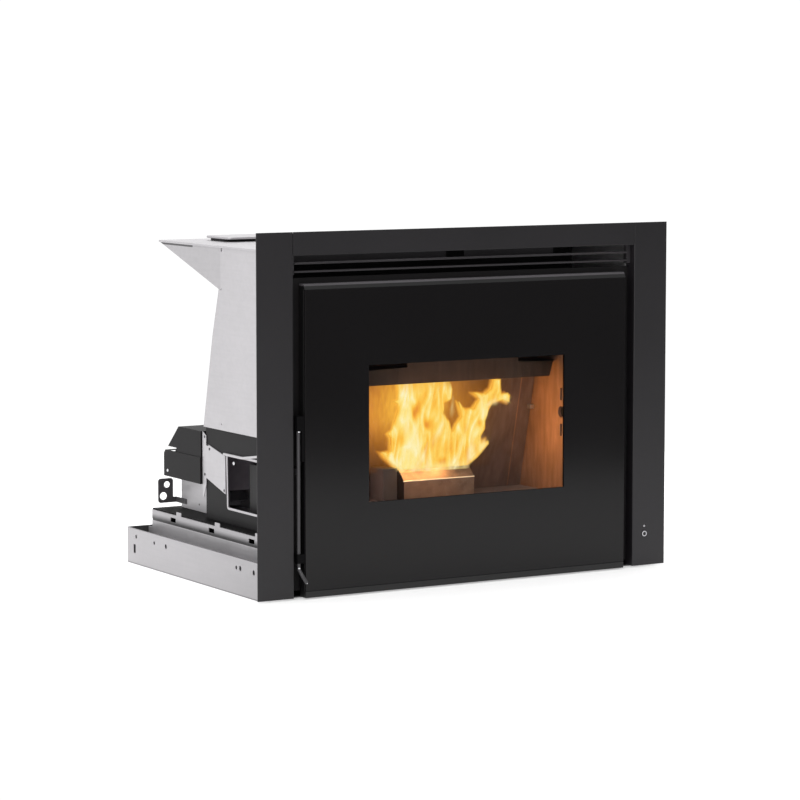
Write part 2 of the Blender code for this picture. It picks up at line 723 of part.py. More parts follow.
def make_carriage():
    rail_rear = CARRIAGE_REAR - SHEET - REST
    inner = CARRIAGE_HALF - SHEET
    section = [
        (CARRIAGE_HALF, CARRIAGE_LOW),
        (CARRIAGE_HALF, CARRIAGE_TOP),
        (CARRIAGE_HALF - RAIL_FLANGE, CARRIAGE_TOP),
        (CARRIAGE_HALF - RAIL_FLANGE, CARRIAGE_TOP - SHEET),
        (inner, CARRIAGE_TOP - SHEET),
        (inner, CARRIAGE_LOW + SHEET),
        (CARRIAGE_HALF - RAIL_FLANGE, CARRIAGE_LOW + SHEET),
        (CARRIAGE_HALF - RAIL_FLANGE, CARRIAGE_LOW),
    ]
    wide, tall = RAIL_WINDOW_SIZE
    for side, sign in (("left", -1), ("right", 1)):
        outline = section if sign > 0 else mirrored(section)
        rail = plate(f"{side}_rail", "Y", outline, BEHIND_PLATE, rail_rear)
        web = sorted((sign * inner, sign * CARRIAGE_HALF))
        fuse(
            rail,
            box(
                f"{side}_rail_tail",
                (web[0], rail_rear - FAR / 4, RAIL_TAIL[0]),
                (web[1], RAIL_TAIL_REAR, RAIL_TAIL[1]),
            ),
        )
        for index in range(3):
            centre = RAIL_WINDOW_FIRST + index * RAIL_WINDOW_PITCH
            across = sorted((sign * (inner - FAR / 4), sign * (CARRIAGE_HALF + FAR)))
            cut(
                rail,
                box(
                    f"{side}_rail_window_{index}",
                    (across[0], centre - wide / 2, RAIL_WINDOW_LEVEL - tall / 2),
                    (across[1], centre + wide / 2, RAIL_WINDOW_LEVEL + tall / 2),
                ),
            )
            tab = centre - RAIL_TAB_SHIFT
            across = sorted((sign * inner, sign * CARRIAGE_HALF))
            corners = rectangle(
                (tab - RAIL_TAB_WIDTH / 2, CARRIAGE_TOP - SHEET),
                (tab + RAIL_TAB_WIDTH / 2, CARRIAGE_TOP + RAIL_TAB_RISE),
            )
            fuse(rail, plate(f"{side}_rail_tab_{index}", "X", rounded(corners, SHEET), across[0], across[1]))
        across = sorted((sign * (CARRIAGE_HALF - RAIL_GROOVE_DEPTH), sign * (CARRIAGE_HALF + FAR)))
        cut(
            rail,
            box(
                f"{side}_rail_groove",
                (across[0], BEHIND_PLATE - FAR, RAIL_GROOVE[0]),
                (across[1], rail_rear + FAR, RAIL_GROOVE[1]),
            ),
        )
        paint(GALVANISED, rail)
    floor = plate(
        "floor_plate",
        "X",
        [
            (BEHIND_PLATE, FLOOR_LOW),
            (CARRIAGE_REAR - SHEET, FLOOR_LOW),
            (CARRIAGE_REAR - SHEET, CARRIAGE_LOW),
            (CARRIAGE_REAR, CARRIAGE_LOW),
            (CARRIAGE_REAR, FLOOR_TOP),
            (BEHIND_PLATE, FLOOR_TOP),
        ],
        REST - inner,
        inner - REST,
    )
    notch_rear = JAMB_RETURN + REST
    for side, across in (("left", (-SURROUND_WIDTH / 2, REST - OPENING)), ("right", (OPENING - REST, SURROUND_WIDTH / 2))):
        cut(
            floor,
            box(
                f"floor_notch_{side}",
                (across[0], BEHIND_PLATE - FAR, FLOOR_LOW - FAR / 2),
                (across[1], notch_rear, FLOOR_TOP + FAR),
            ),
        )
    paint(BLACK_STEEL, floor)


def make_surround():
    half = SURROUND_WIDTH / 2
    section = [
        (OPENING, PLATE),
        (OPENING, JAMB_RETURN),
        (OPENING + PLATE, JAMB_RETURN),
        (OPENING + PLATE, PLATE),
        (half, PLATE),
        (half, 0),
        (OPENING + EDGE_ROUNDING, 0),
        (OPENING + EDGE_ROUNDING * 0.3, EDGE_ROUNDING * 0.3),
        (OPENING, EDGE_ROUNDING),
    ]
    jambs = {}
    for side, sign in (("left", -1), ("right", 1)):
        outline = section if sign > 0 else mirrored(section)
        jambs[side] = plate(f"{side}_jamb", "Z", outline, HEARTH_GAP, SURROUND_TOP)
        across = sorted((sign * (OPENING - SHEET), sign * (OPENING + PLATE + SHEET)))
        cut(
            jambs[side],
            box(
                f"{side}_return_relief",
                (across[0], PLATE, SURROUND_TOP - RETURN_DROP),
                (across[1], JAMB_RETURN + FAR, SURROUND_TOP + FAR),
            ),
        )
    holes = (
        ("button_hole", BUTTON_LEVEL, BUTTON_RADIUS + 2 * PIN_PLAY),
        ("lamp_hole", BUTTON_LEVEL + LAMP_RISE, LAMP_RADIUS + PIN_PLAY),
    )
    for name, level, radius in holes:
        cut(jambs["right"], round_bar(name, "Y", (BUTTON_X, level), radius, PLATE / 2 - FAR, PLATE / 2 + FAR, 15))
    rail = plate(
        "top_rail",
        "X",
        [
            (0, RAIL_LOW),
            (RAIL_RETURN, RAIL_LOW),
            (RAIL_RETURN, RAIL_LOW + PLATE),
            (PLATE, RAIL_LOW + PLATE),
            (PLATE, SURROUND_TOP),
            (0, SURROUND_TOP),
        ],
        REST - OPENING,
        OPENING - REST,
    )
    paint(BLACK_STEEL, jambs["left"], jambs["right"], rail)


def make_front():
    edge = OPENING - REST
    inner = SHELL_HALF - FIREBOX_PLATE
    front = plate(
        "front_plate",
        "Y",
        rectangle((-edge, FRONT_PLATE_LOW), (edge, FRONT_PLATE_TOP)),
        PLATE_FRONT,
        PLATE_REAR,
        [rectangle((-inner, SHELL_FLOOR), (inner, SHELL_CEILING))],
    )
    keeper = box(
        "latch_keeper",
        (LATCH_X - KEEPER_WIDTH / 2, LATCH_CAM_REACH + REST, LATCH_CAM_LOW - PLATE),
        (LATCH_X + KEEPER_WIDTH / 2, PLATE_FRONT + PLATE / 2, LATCH_CAM_LOW + LATCH_CAM_HEIGHT + PLATE),
    )
    fuse(front, keeper)
    slat_end = OPENING - SLAT_END_GAP
    grille = box(
        "air_grille",
        (-slat_end - REST, SLAT_FRONT, SLAT_LEVELS[0]),
        (slat_end + REST, SLAT_REAR, SLAT_LEVELS[0] + SLAT_THICKNESS),
    )
    fuse(
        grille,
        box(
            "upper_slat",
            (-slat_end - REST, SLAT_FRONT, SLAT_LEVELS[1]),
            (slat_end + REST, SLAT_REAR, SLAT_LEVELS[1] + SLAT_THICKNESS),
        ),
    )
    for side, sign in (("left", -1), ("right", 1)):
        across = sorted((sign * slat_end, sign * edge))
        fuse(
            grille,
            box(
                f"grille_side_{side}",
                (across[0], SLAT_FRONT + PLATE, GRILLE_SIDE_LOW),
                (across[1], PLATE_REAR, RAIL_LOW - REST),
            ),
        )
    notch_low, notch_high = OUTLET_NOTCH
    tab_left = BODY_SHEET - BODY_HALF + REST
    outlet = plate(
        "outlet_plate",
        "Y",
        [
            (tab_left, OUTLET_PLATE_LOW),
            (notch_low, OUTLET_PLATE_LOW),
            (notch_low, PANEL_TOP - SHEET),
            (notch_high, PANEL_TOP - SHEET),
            (notch_high, OUTLET_PLATE_LOW),
            (OUTLET_PLATE_END, OUTLET_PLATE_LOW),
            (OUTLET_PLATE_END, PANEL_TOP - REST),
            (tab_left, PANEL_TOP - REST),
        ],
        OUTLET_PLATE_FRONT,
        OUTLET_PLATE_FRONT + SHEET,
    )
    tab = box(
        "outlet_tab",
        (tab_left, PLATE_REAR - PLATE, OUTLET_PLATE_LOW),
        (-slat_end, OUTLET_PLATE_FRONT + SHEET, RAIL_LOW - REST),
    )
    fuse(grille, tab, outlet)
    paint(BLACK_STEEL, front, grille)


def make_body():
    outline = [
        (BEHIND_PLATE, PANEL_LOW),
        (PANEL_LOW_REAR, PANEL_LOW),
        (PANEL_KINK_DEPTH, PANEL_KINK_LEVEL),
        (WAIST_DEPTH, WAIST_LEVEL),
        (WING_REAR, BODY_TOP - SHEET - TOP_RIM),
        (WING_REAR, PANEL_TOP),
        (BEHIND_PLATE, PANEL_TOP),
    ]
    for side, sign in (("left", -1), ("right", 1)):
        across = sorted((sign * (BODY_HALF - BODY_SHEET), sign * BODY_HALF))
        panel = plate(f"{side}_panel", "X", outline, across[0], across[1])
        low, high = across[0] - FAR, across[1] + FAR
        notch_rear = WAIST_DEPTH - PANEL_HOLE_INSET
        cut(
            panel,
            box(
                f"{side}_notch",
                (low, notch_rear - PANEL_NOTCH, PANEL_TOP - PANEL_NOTCH_DROP),
                (high, notch_rear, PANEL_TOP + FAR),
            ),
            round_bar(f"{side}_waist_hole", "X", (notch_rear, WAIST_LEVEL), PANEL_HOLE_RADIUS, low, high, 10),
            round_bar(
                f"{side}_foot_hole",
                "X",
                (PANEL_HOLE_DEPTH, PANEL_LOW + PANEL_HOLE_RISE),
                PANEL_HOLE_RADIUS,
                low,
                high,
                10,
            ),
        )
        paint(GALVANISED, panel)
    rim = BODY_HALF + REST
    top = box(
        "top_panel",
        (-rim - SHEET, BEHIND_PLATE, PANEL_TOP + REST - TOP_RIM),
        (rim + SHEET, WING_REAR + REST + SHEET, BODY_TOP),
    )
    seal_low, seal_high = (-LID_SEAL_HALF, LID_SEAL_FRONT), (LID_SEAL_HALF, LID_SEAL_REAR)
    mouth_low, mouth_high = grown(seal_low, seal_high, -LID_SEAL_WIDTH - MOUTH_INSET)
    cut(
        top,
        box("top_space", (-rim, BEHIND_PLATE - FAR, 0), (rim, WING_REAR + REST, BODY_TOP - SHEET)),
        box("mouth", (*mouth_low, BODY_TOP - FAR), (*mouth_high, BODY_TOP + FAR)),
    )
    paint(GALVANISED, top)
    ring_low, ring_high = grown(seal_low, seal_high, -LID_SEAL_WIDTH)
    seal = plate(
        "lid_seal",
        "Z",
        rounded(rectangle(seal_low, seal_high), LID_SEAL_CORNER),
        BODY_TOP + REST,
        BODY_TOP + REST + LID_SEAL_HEIGHT,
        [rounded(rectangle(ring_low, ring_high), LID_SEAL_CORNER - LID_SEAL_WIDTH)],
    )
    paint(SEAL_RUBBER, seal)
    depth, level = LID_AXIS
    fuse(top, round_bar("lid_hinge", "X", LID_AXIS, LID_HINGE_RADIUS, -LID_HINGE_HALF, LID_HINGE_HALF, 12))
    lid_axis = add_empty("lid_axis", (0, depth, level), DATUM)
    lid = plate(
        "hopper_lid",
        "Z",
        rounded(rectangle((-LID_HALF, LID_FRONT), (LID_HALF, LID_REAR)), LID_SEAL_CORNER),
        LID_LOW,
        LID_LOW + LID_THICKNESS,
    )
    paint(GALVANISED, lid)
    carry(lid_axis, lid)


def make_hopper():
    """A sheet funnel that follows the side panels' rear edge and stands on the auger tube."""
    half = BODY_HALF - BODY_SHEET - REST
    neck_front, neck_rear = HOPPER_NECK_DEPTH
    wall = BODY_SHEET
    neck_low = AUGER_LEVEL + AUGER_TUBE_RADIUS / 2
    lean = (PANEL_LOW_REAR - WAIST_DEPTH) / (WAIST_LEVEL - PANEL_LOW)
    flare = (WING_REAR - WAIST_DEPTH) / (PANEL_TOP - WAIST_LEVEL)
    foot_rear = WAIST_DEPTH + (WAIST_LEVEL - HOPPER_FUNNEL_LEVEL) * lean

    def profile(inset):
        drop = 0 if inset == 0 else FAR
        return [
            (HOPPER_FRONT + inset, PANEL_TOP + drop),
            (HOPPER_FRONT + inset, HOPPER_FUNNEL_LEVEL),
            (neck_front, HOPPER_NECK_TOP + inset),
            (neck_rear, HOPPER_NECK_TOP + inset),
            (foot_rear - inset, HOPPER_FUNNEL_LEVEL),
            (WAIST_DEPTH - inset, WAIST_LEVEL + inset),
            (WING_REAR - 3 * inset + drop * flare, PANEL_TOP + drop),
        ]

    hopper = plate("hopper", "X", profile(0), -half, half)
    neck = box("neck", (-HOPPER_NECK_HALF, neck_front, neck_low), (HOPPER_NECK_HALF, neck_rear, HOPPER_NECK_TOP + wall))
    inner_neck = box(
        "neck_space",
        (wall - HOPPER_NECK_HALF, neck_front + wall, neck_low - FAR),
        (HOPPER_NECK_HALF - wall, neck_rear - wall, HOPPER_NECK_TOP + 2 * wall),
    )
    saddle = round_bar(
        "saddle", "Y", (0, AUGER_LEVEL), AUGER_TUBE_RADIUS + REST, HOPPER_FRONT, AUGER_TUBE_REAR, ROUND_SIDES
    )
    fuse(hopper, neck)
    cut(hopper, plate("hopper_space", "X", profile(wall), wall - half, half - wall), inner_neck, saddle)
    paint(GALVANISED, hopper)


def make_firebox():
    shell = plate(
        "firebox_shell",
        "X",
        [
            (BEHIND_PLATE, ON_FLOOR),
            (shell_rear(ON_FLOOR), ON_FLOOR),
            (shell_rear(FIREBOX_TOP), FIREBOX_TOP),
            (BEHIND_PLATE, FIREBOX_TOP),
        ],
        -SHELL_HALF,
        SHELL_HALF,
    )
    inner = SHELL_HALF - FIREBOX_PLATE
    rear = FIREBOX_PLATE
    duct_half = SMOKE_DUCT_HALF - SHEET
    space = plate(
        "firebox_space",
        "X",
        [
            (BEHIND_PLATE - FAR, SHELL_FLOOR),
            (shell_rear(SHELL_FLOOR) - rear, SHELL_FLOOR),
            (shell_rear(SHELL_CEILING) - rear, SHELL_CEILING),
            (BEHIND_PLATE - FAR, SHELL_CEILING),
        ],
        -inner,
        inner,
    )
    smoke_port = box(
        "smoke_port",
        (SMOKE_CENTRE - duct_half, BACK_HEAD, DEFLECTOR_TOP + FAR / 2),
        (SMOKE_CENTRE + duct_half, BACK_FOOT + FAR, SMOKE_DUCT_TOP - SHEET),
    )
    feed_port = round_bar(
        "feed_port", "Y", (0, AUGER_LEVEL), AUGER_TUBE_RADIUS + PIN_PLAY, BACK_HEAD, BACK_FOOT + 2 * FAR
    )
    igniter_port = round_bar(
        "igniter_port", "Y", (POT_CENTRE, IGNITER_LEVEL), IGNITER_RADIUS + PIN_PLAY, BACK_HEAD, BACK_FOOT + 2 * FAR, 12
    )
    cut(shell, space, smoke_port, feed_port, igniter_port)
    paint(DARK_STEEL, shell)

    liner_top = SHELL_CEILING - REST
    liner_foot = SHELL_FLOOR + REST
    back = plate(
        "back_liner",
        "X",
        [
            (back_depth(liner_foot), liner_foot),
            (back_depth(liner_foot) + BACK_LINER_THICKNESS, liner_foot),
            (back_depth(liner_top) + BACK_LINER_THICKNESS, liner_top),
            (back_depth(liner_top), liner_top),
        ],
        REST - FIREBOX_INNER_HALF,
        FIREBOX_INNER_HALF - REST,
    )
    cut(
        back,
        box(
            "liner_smoke_port",
            (SMOKE_CENTRE - duct_half, BACK_HEAD - FAR, DEFLECTOR_TOP + FAR / 2),
            (SMOKE_CENTRE + duct_half, BACK_FOOT + FAR, SMOKE_DUCT_TOP - SHEET),
        ),
        round_bar(
            "liner_feed_port", "Y", (0, AUGER_LEVEL), AUGER_TUBE_RADIUS + PIN_PLAY, BACK_HEAD, BACK_FOOT + 2 * FAR
        ),
        round_bar(
            "liner_igniter_port",
            "Y",
            (POT_CENTRE, IGNITER_LEVEL),
            IGNITER_RADIUS + PIN_PLAY,
            BACK_HEAD,
            BACK_FOOT + 2 * FAR,
            12,
        ),
    )
    side_rear_foot = back_depth(liner_foot) + BACK_LINER_THICKNESS
    side_rear_top = back_depth(liner_top) + BACK_LINER_THICKNESS
    side = [
        (BEHIND_PLATE, liner_foot),
        (side_rear_foot, liner_foot),
        (side_rear_top, liner_top),
        (BEHIND_PLATE, liner_top),
    ]
    wide, tall = LINER_SLOT_SIZE
    for label, sign in (("left", -1), ("right", 1)):
        across = sorted((sign * FIREBOX_INNER_HALF, sign * (FIREBOX_INNER_HALF + LINER_THICKNESS)))
        liner = plate(f"{label}_liner", "X", side, across[0], across[1])
        cut(
            liner,
            round_bar(
                f"{label}_liner_hole",
                "X",
                (LINER_HOLE_DEPTH, LINER_HOLE_LEVEL),
                LINER_HOLE_RADIUS,
                across[0] - FAR,
                across[1] + FAR,
                16,
            ),
        )
        for shift in (-LINER_SLOT_SHIFT, LINER_SLOT_SHIFT):
            cut(
                liner,
                box(
                    f"{label}_liner_slot",
                    (across[0] - FAR, LINER_HOLE_DEPTH - wide / 2, LINER_HOLE_LEVEL + shift - tall / 2),
                    (across[1] + FAR, LINER_HOLE_DEPTH + wide / 2, LINER_HOLE_LEVEL + shift + tall / 2),
                ),
            )
        paint(LINER_STEEL, liner)
    paint(LINER_STEEL, back)

    wide_half = FIREBOX_INNER_HALF - REST
    shelf_rear = back_depth(DEFLECTOR_TOP) - REST
    deflector = plate(
        "flame_deflector",
        "Y",
        [
            (-DEFLECTOR_HALF + DEFLECTOR_SLANT, DEFLECTOR_LOW),
            (DEFLECTOR_HALF - DEFLECTOR_SLANT, DEFLECTOR_LOW),
            (DEFLECTOR_HALF, DEFLECTOR_TOP),
            (DEFLECTOR_CREST_X[1], DEFLECTOR_LIP_TOP),
            (DEFLECTOR_CREST_X[1], DEFLECTOR_CREST),
            (DEFLECTOR_CREST_X[0], DEFLECTOR_CREST),
            (DEFLECTOR_CREST_X[0], DEFLECTOR_LIP_TOP),
            (-DEFLECTOR_HALF, DEFLECTOR_TOP),
        ],
        DEFLECTOR_FRONT,
        DEFLECTOR_FRONT + FIREBOX_PLATE,
    )
    shelf = plate(
        "deflector_shelf",
        "Z",
        [
            (DEFLECTOR_SLANT - DEFLECTOR_HALF, DEFLECTOR_FRONT + SHEET),
            (DEFLECTOR_HALF - DEFLECTOR_SLANT, DEFLECTOR_FRONT + SHEET),
            (wide_half, DEFLECTOR_FRONT + FAR),
            (wide_half, shelf_rear),
            (-wide_half, shelf_rear),
            (-wide_half, DEFLECTOR_FRONT + FAR),
        ],
        DEFLECTOR_TOP - FIREBOX_PLATE,
        DEFLECTOR_TOP,
    )
    fuse(deflector, shelf)
    paint(DEFLECTOR_STEEL, deflector)


def make_fire_tools():
    """The seat, burn pot, ash pan and igniter inside the firebox."""
    leg_outer = FIREBOX_INNER_HALF - REST
    leg_inner = leg_outer - PLATE
    seat_low = SHELL_FLOOR + REST
    seat_rear = back_depth(SEAT_TOP) - REST
    seat = plate(
        "pot_seat",
        "Y",
        [
            (-leg_outer, seat_low),
            (-leg_inner, seat_low),
            (-leg_inner, SEAT_TOP - FIREBOX_PLATE),
            (leg_inner, SEAT_TOP - FIREBOX_PLATE),
            (leg_inner, seat_low),
            (leg_outer, seat_low),
            (leg_outer, SEAT_TOP),
            (-leg_outer, SEAT_TOP),
        ],
        ASH_PAN_FRONT,
        seat_rear,
    )
    guard_right = POT_CENTRE - POT_HALF - REST - PLATE
    fuse(
        seat,
        box(
            "pot_guard",
            (guard_right - POT_GUARD_WIDTH, POT_FRONT + POT_LIP_RUN, SEAT_TOP - FIREBOX_PLATE),
            (guard_right, POT_REAR - PLATE, POT_GUARD_TOP),
        ),
    )
    cut(
        seat,
        box(
            "seat_hole",
            (POT_CENTRE - POT_HALF + SEAT_HOLE_MARGIN, POT_FRONT + SEAT_HOLE_MARGIN, SEAT_TOP - FAR / 2),
            (POT_CENTRE + POT_HALF - SEAT_HOLE_MARGIN, POT_REAR - SEAT_HOLE_MARGIN, SEAT_TOP + FAR),
        ),
    )
    paint(DARK_STEEL, seat)

    pot_foot = SEAT_TOP + REST
    pot_left, pot_right = POT_CENTRE - POT_HALF, POT_CENTRE + POT_HALF
    pot = plate(
        "burn_pot",
        "X",
        [
            (POT_FRONT, pot_foot),
            (POT_REAR, pot_foot),
            (POT_REAR, POT_BACK_LEVEL),
            (POT_FRONT + POT_LIP_RUN, POT_BACK_LEVEL),
            (POT_FRONT, POT_LIP_LEVEL),
        ],
        pot_left,
        pot_right,
    )
    cut(
        pot,
        box(
            "pot_space",
            (pot_left + POT_WALL, POT_FRONT + POT_LIP_RUN + POT_WALL, pot_foot + POT_WALL),
            (pot_right - POT_WALL, POT_REAR - POT_WALL, POT_BACK_LEVEL + FAR),
        ),
    )
    holes = 5
    pitch = 2 * (POT_HALF - SEAT_HOLE_MARGIN) / holes
    for index in range(holes):
        across = POT_CENTRE + (index - (holes - 1) / 2) * pitch
        middle = (POT_FRONT + POT_LIP_RUN + POT_REAR) / 2
        cut(pot, round_bar(f"pot_hole_{index}", "Z", (across, middle), POT_WALL, pot_foot - FAR, pot_foot + FAR, 8))
    cut(
        pot,
        round_bar(
            "pot_igniter_hole",
            "Y",
            (POT_CENTRE, IGNITER_LEVEL),
            IGNITER_RADIUS,
            POT_REAR - 2 * POT_WALL,
            POT_REAR + POT_WALL,
            12,
        ),
    )
    paint(POT_IRON, pot)
    carry(add_empty("pot_lift", (POT_CENTRE, (POT_FRONT + POT_REAR) / 2, pot_foot), DATUM), pot)

    pan_half = leg_inner - PLATE
    pan_low = SHELL_FLOOR + REST
    pan = box("ash_pan", (-pan_half, ASH_PAN_FRONT, pan_low), (pan_half, ASH_PAN_REAR, ASH_PAN_TOP))
    fuse(
        pan,
        box(
            "pan_pull",
            (-ASH_PULL_HALF, ASH_PAN_FRONT - ASH_PULL_REACH, ASH_PAN_TOP - PLATE),
            (ASH_PULL_HALF, ASH_PAN_FRONT + SHEET, ASH_PAN_TOP),
        ),
    )
    cut(
        pan,
        box(
            "pan_space",
            (SHEET - pan_half, ASH_PAN_FRONT + SHEET, pan_low + SHEET),
            (pan_half - SHEET, ASH_PAN_REAR - SHEET, ASH_PAN_TOP + FAR),
        ),
    )
    paint(GALVANISED, pan)
    carry(add_empty("ash_pan_travel", (0, ASH_PAN_FRONT, pan_low), DATUM), pan)

    igniter = round_bar(
        "igniter",
        "Y",
        (POT_CENTRE, IGNITER_LEVEL),
        IGNITER_RADIUS,
        POT_REAR + REST,
        shell_rear(IGNITER_LEVEL) + IGNITER_TAIL,
        12,
    )
    paint(CERAMIC, igniter)


def make_feed():
    inner = AUGER_TUBE_RADIUS - AUGER_TUBE_WALL
    tube_front = AUGER_TUBE_FRONT
    tube = ring(
        "auger_tube", "Y", (0, AUGER_LEVEL), AUGER_TUBE_RADIUS, inner, tube_front, AUGER_TUBE_REAR
    )
    wall = BODY_SHEET
    neck_front, neck_rear = HOPPER_NECK_DEPTH
    cut(
        tube,
        box(
            "tube_inlet",
            (wall - HOPPER_NECK_HALF, neck_front + wall, AUGER_LEVEL),
            (HOPPER_NECK_HALF - wall, neck_rear - wall, AUGER_LEVEL + 2 * AUGER_TUBE_RADIUS),
        ),
    )
    paint(GALVANISED, tube)

    shaft_front = tube_front + PLATE
    socket = FAR / 2
    shaft_rear = AUGER_TUBE_REAR + socket - PLATE
    screw = round_bar("auger_screw", "Y", (0, AUGER_LEVEL), AUGER_SHAFT_RADIUS, shaft_front, shaft_rear, 12)
    mesh = bpy.data.meshes.new("flight")
    bm = bmesh.new()
    thick = AUGER_FLIGHT_THICKNESS / 2
    core = AUGER_SHAFT_RADIUS * 0.7
    start = shaft_front + AUGER_FLIGHT_THICKNESS
    section = ((core, -thick), (AUGER_FLIGHT_RADIUS, -thick), (AUGER_FLIGHT_RADIUS, thick), (core, thick))
    corners = [bm.verts.new((radius, start + shift, 0)) for radius, shift in section]
    for index, corner in enumerate(corners):
        bm.edges.new((corner, corners[(index + 1) % len(corners)]))
    steps = 14 * AUGER_TURNS
    bmesh.ops.spin(
        bm,
        geom=bm.verts[:] + bm.edges[:],
        cent=(0, 0, 0),
        axis=(0, 1, 0),
        dvec=(0, AUGER_PITCH * AUGER_TURNS / steps, 0),
        angle=math.tau * AUGER_TURNS,
        steps=steps,
        use_duplicate=False,
    )
    open_edges = [edge for edge in bm.edges if len(edge.link_faces) == 1]
    bmesh.ops.holes_fill(bm, edges=open_edges, sides=4)
    bmesh.ops.recalc_face_normals(bm, faces=bm.faces)
    bm.to_mesh(mesh)
    bm.free()
    flight = new_object("flight", mesh)
    flight.location = (0, 0, AUGER_LEVEL)
    fuse(screw, flight)
    paint(BRIGHT_ZINC, screw)
    carry(add_empty("auger_axis", (0, tube_front, AUGER_LEVEL), DATUM), screw)

    half = GEAR_MOTOR_HALF
    front = AUGER_TUBE_REAR + REST
    rear = front + GEAR_MOTOR_LENGTH
    motor = box("auger_motor", (-half, front, AUGER_LEVEL - half), (half, rear, AUGER_LEVEL + half))
    bevel(motor, PLATE, 2)
    fuse(
        motor,
        round_bar(
            "motor_can", "Y", (0, AUGER_LEVEL), GEAR_MOTOR_CAN_RADIUS, rear - PLATE, rear + GEAR_MOTOR_CAN_LENGTH
        ),
    )
    bore = AUGER_SHAFT_RADIUS + PIN_PLAY
    cut(motor, round_bar("motor_socket", "Y", (0, AUGER_LEVEL), bore, front - FAR, AUGER_TUBE_REAR + socket, 12))
    paint(MOTOR_BLACK, motor)


def impeller(name, axis, centre, radius, low, high, shaft_low, shaft_high):
    """A back disc with straight blades, on a shaft."""
    wheel = round_bar(name, axis, centre, radius, low, low + FAN_HUB)
    mesh = bpy.data.meshes.new(f"{name}_blades")
    bm = bmesh.new()
    inner = FAN_INLET_RADIUS * 0.6
    height = high - low - FAN_HUB / 2
    for index in range(FAN_BLADES):
        made = bmesh.ops.create_cube(bm, size=1)
        size = Matrix.Diagonal((radius - PLATE - inner, FAN_BLADE_THICKNESS, height, 1))
        shift = Matrix.Translation(((radius - PLATE + inner) / 2, 0, height / 2))
        spin = Matrix.Rotation(math.tau * index / FAN_BLADES, 4, "Z")
        bmesh.ops.transform(bm, matrix=spin @ shift @ size, verts=made["verts"])
    bm.to_mesh(mesh)
    bm.free()
    blades = new_object(f"{name}_blades", mesh)
    first, second = centre
    root = low + FAN_HUB / 2
    place = {"X": (root, first, second), "Y": (first, root, second)}
    blades.matrix_basis = Matrix.Translation(place[axis]) @ ALONG[axis]
    shaft = round_bar(f"{name}_shaft", axis, centre, FAN_SHAFT_RADIUS, shaft_low, shaft_high, 12)
    fuse(wheel, blades, shaft)
    paint(BRIGHT_ZINC, wheel)
    return wheel


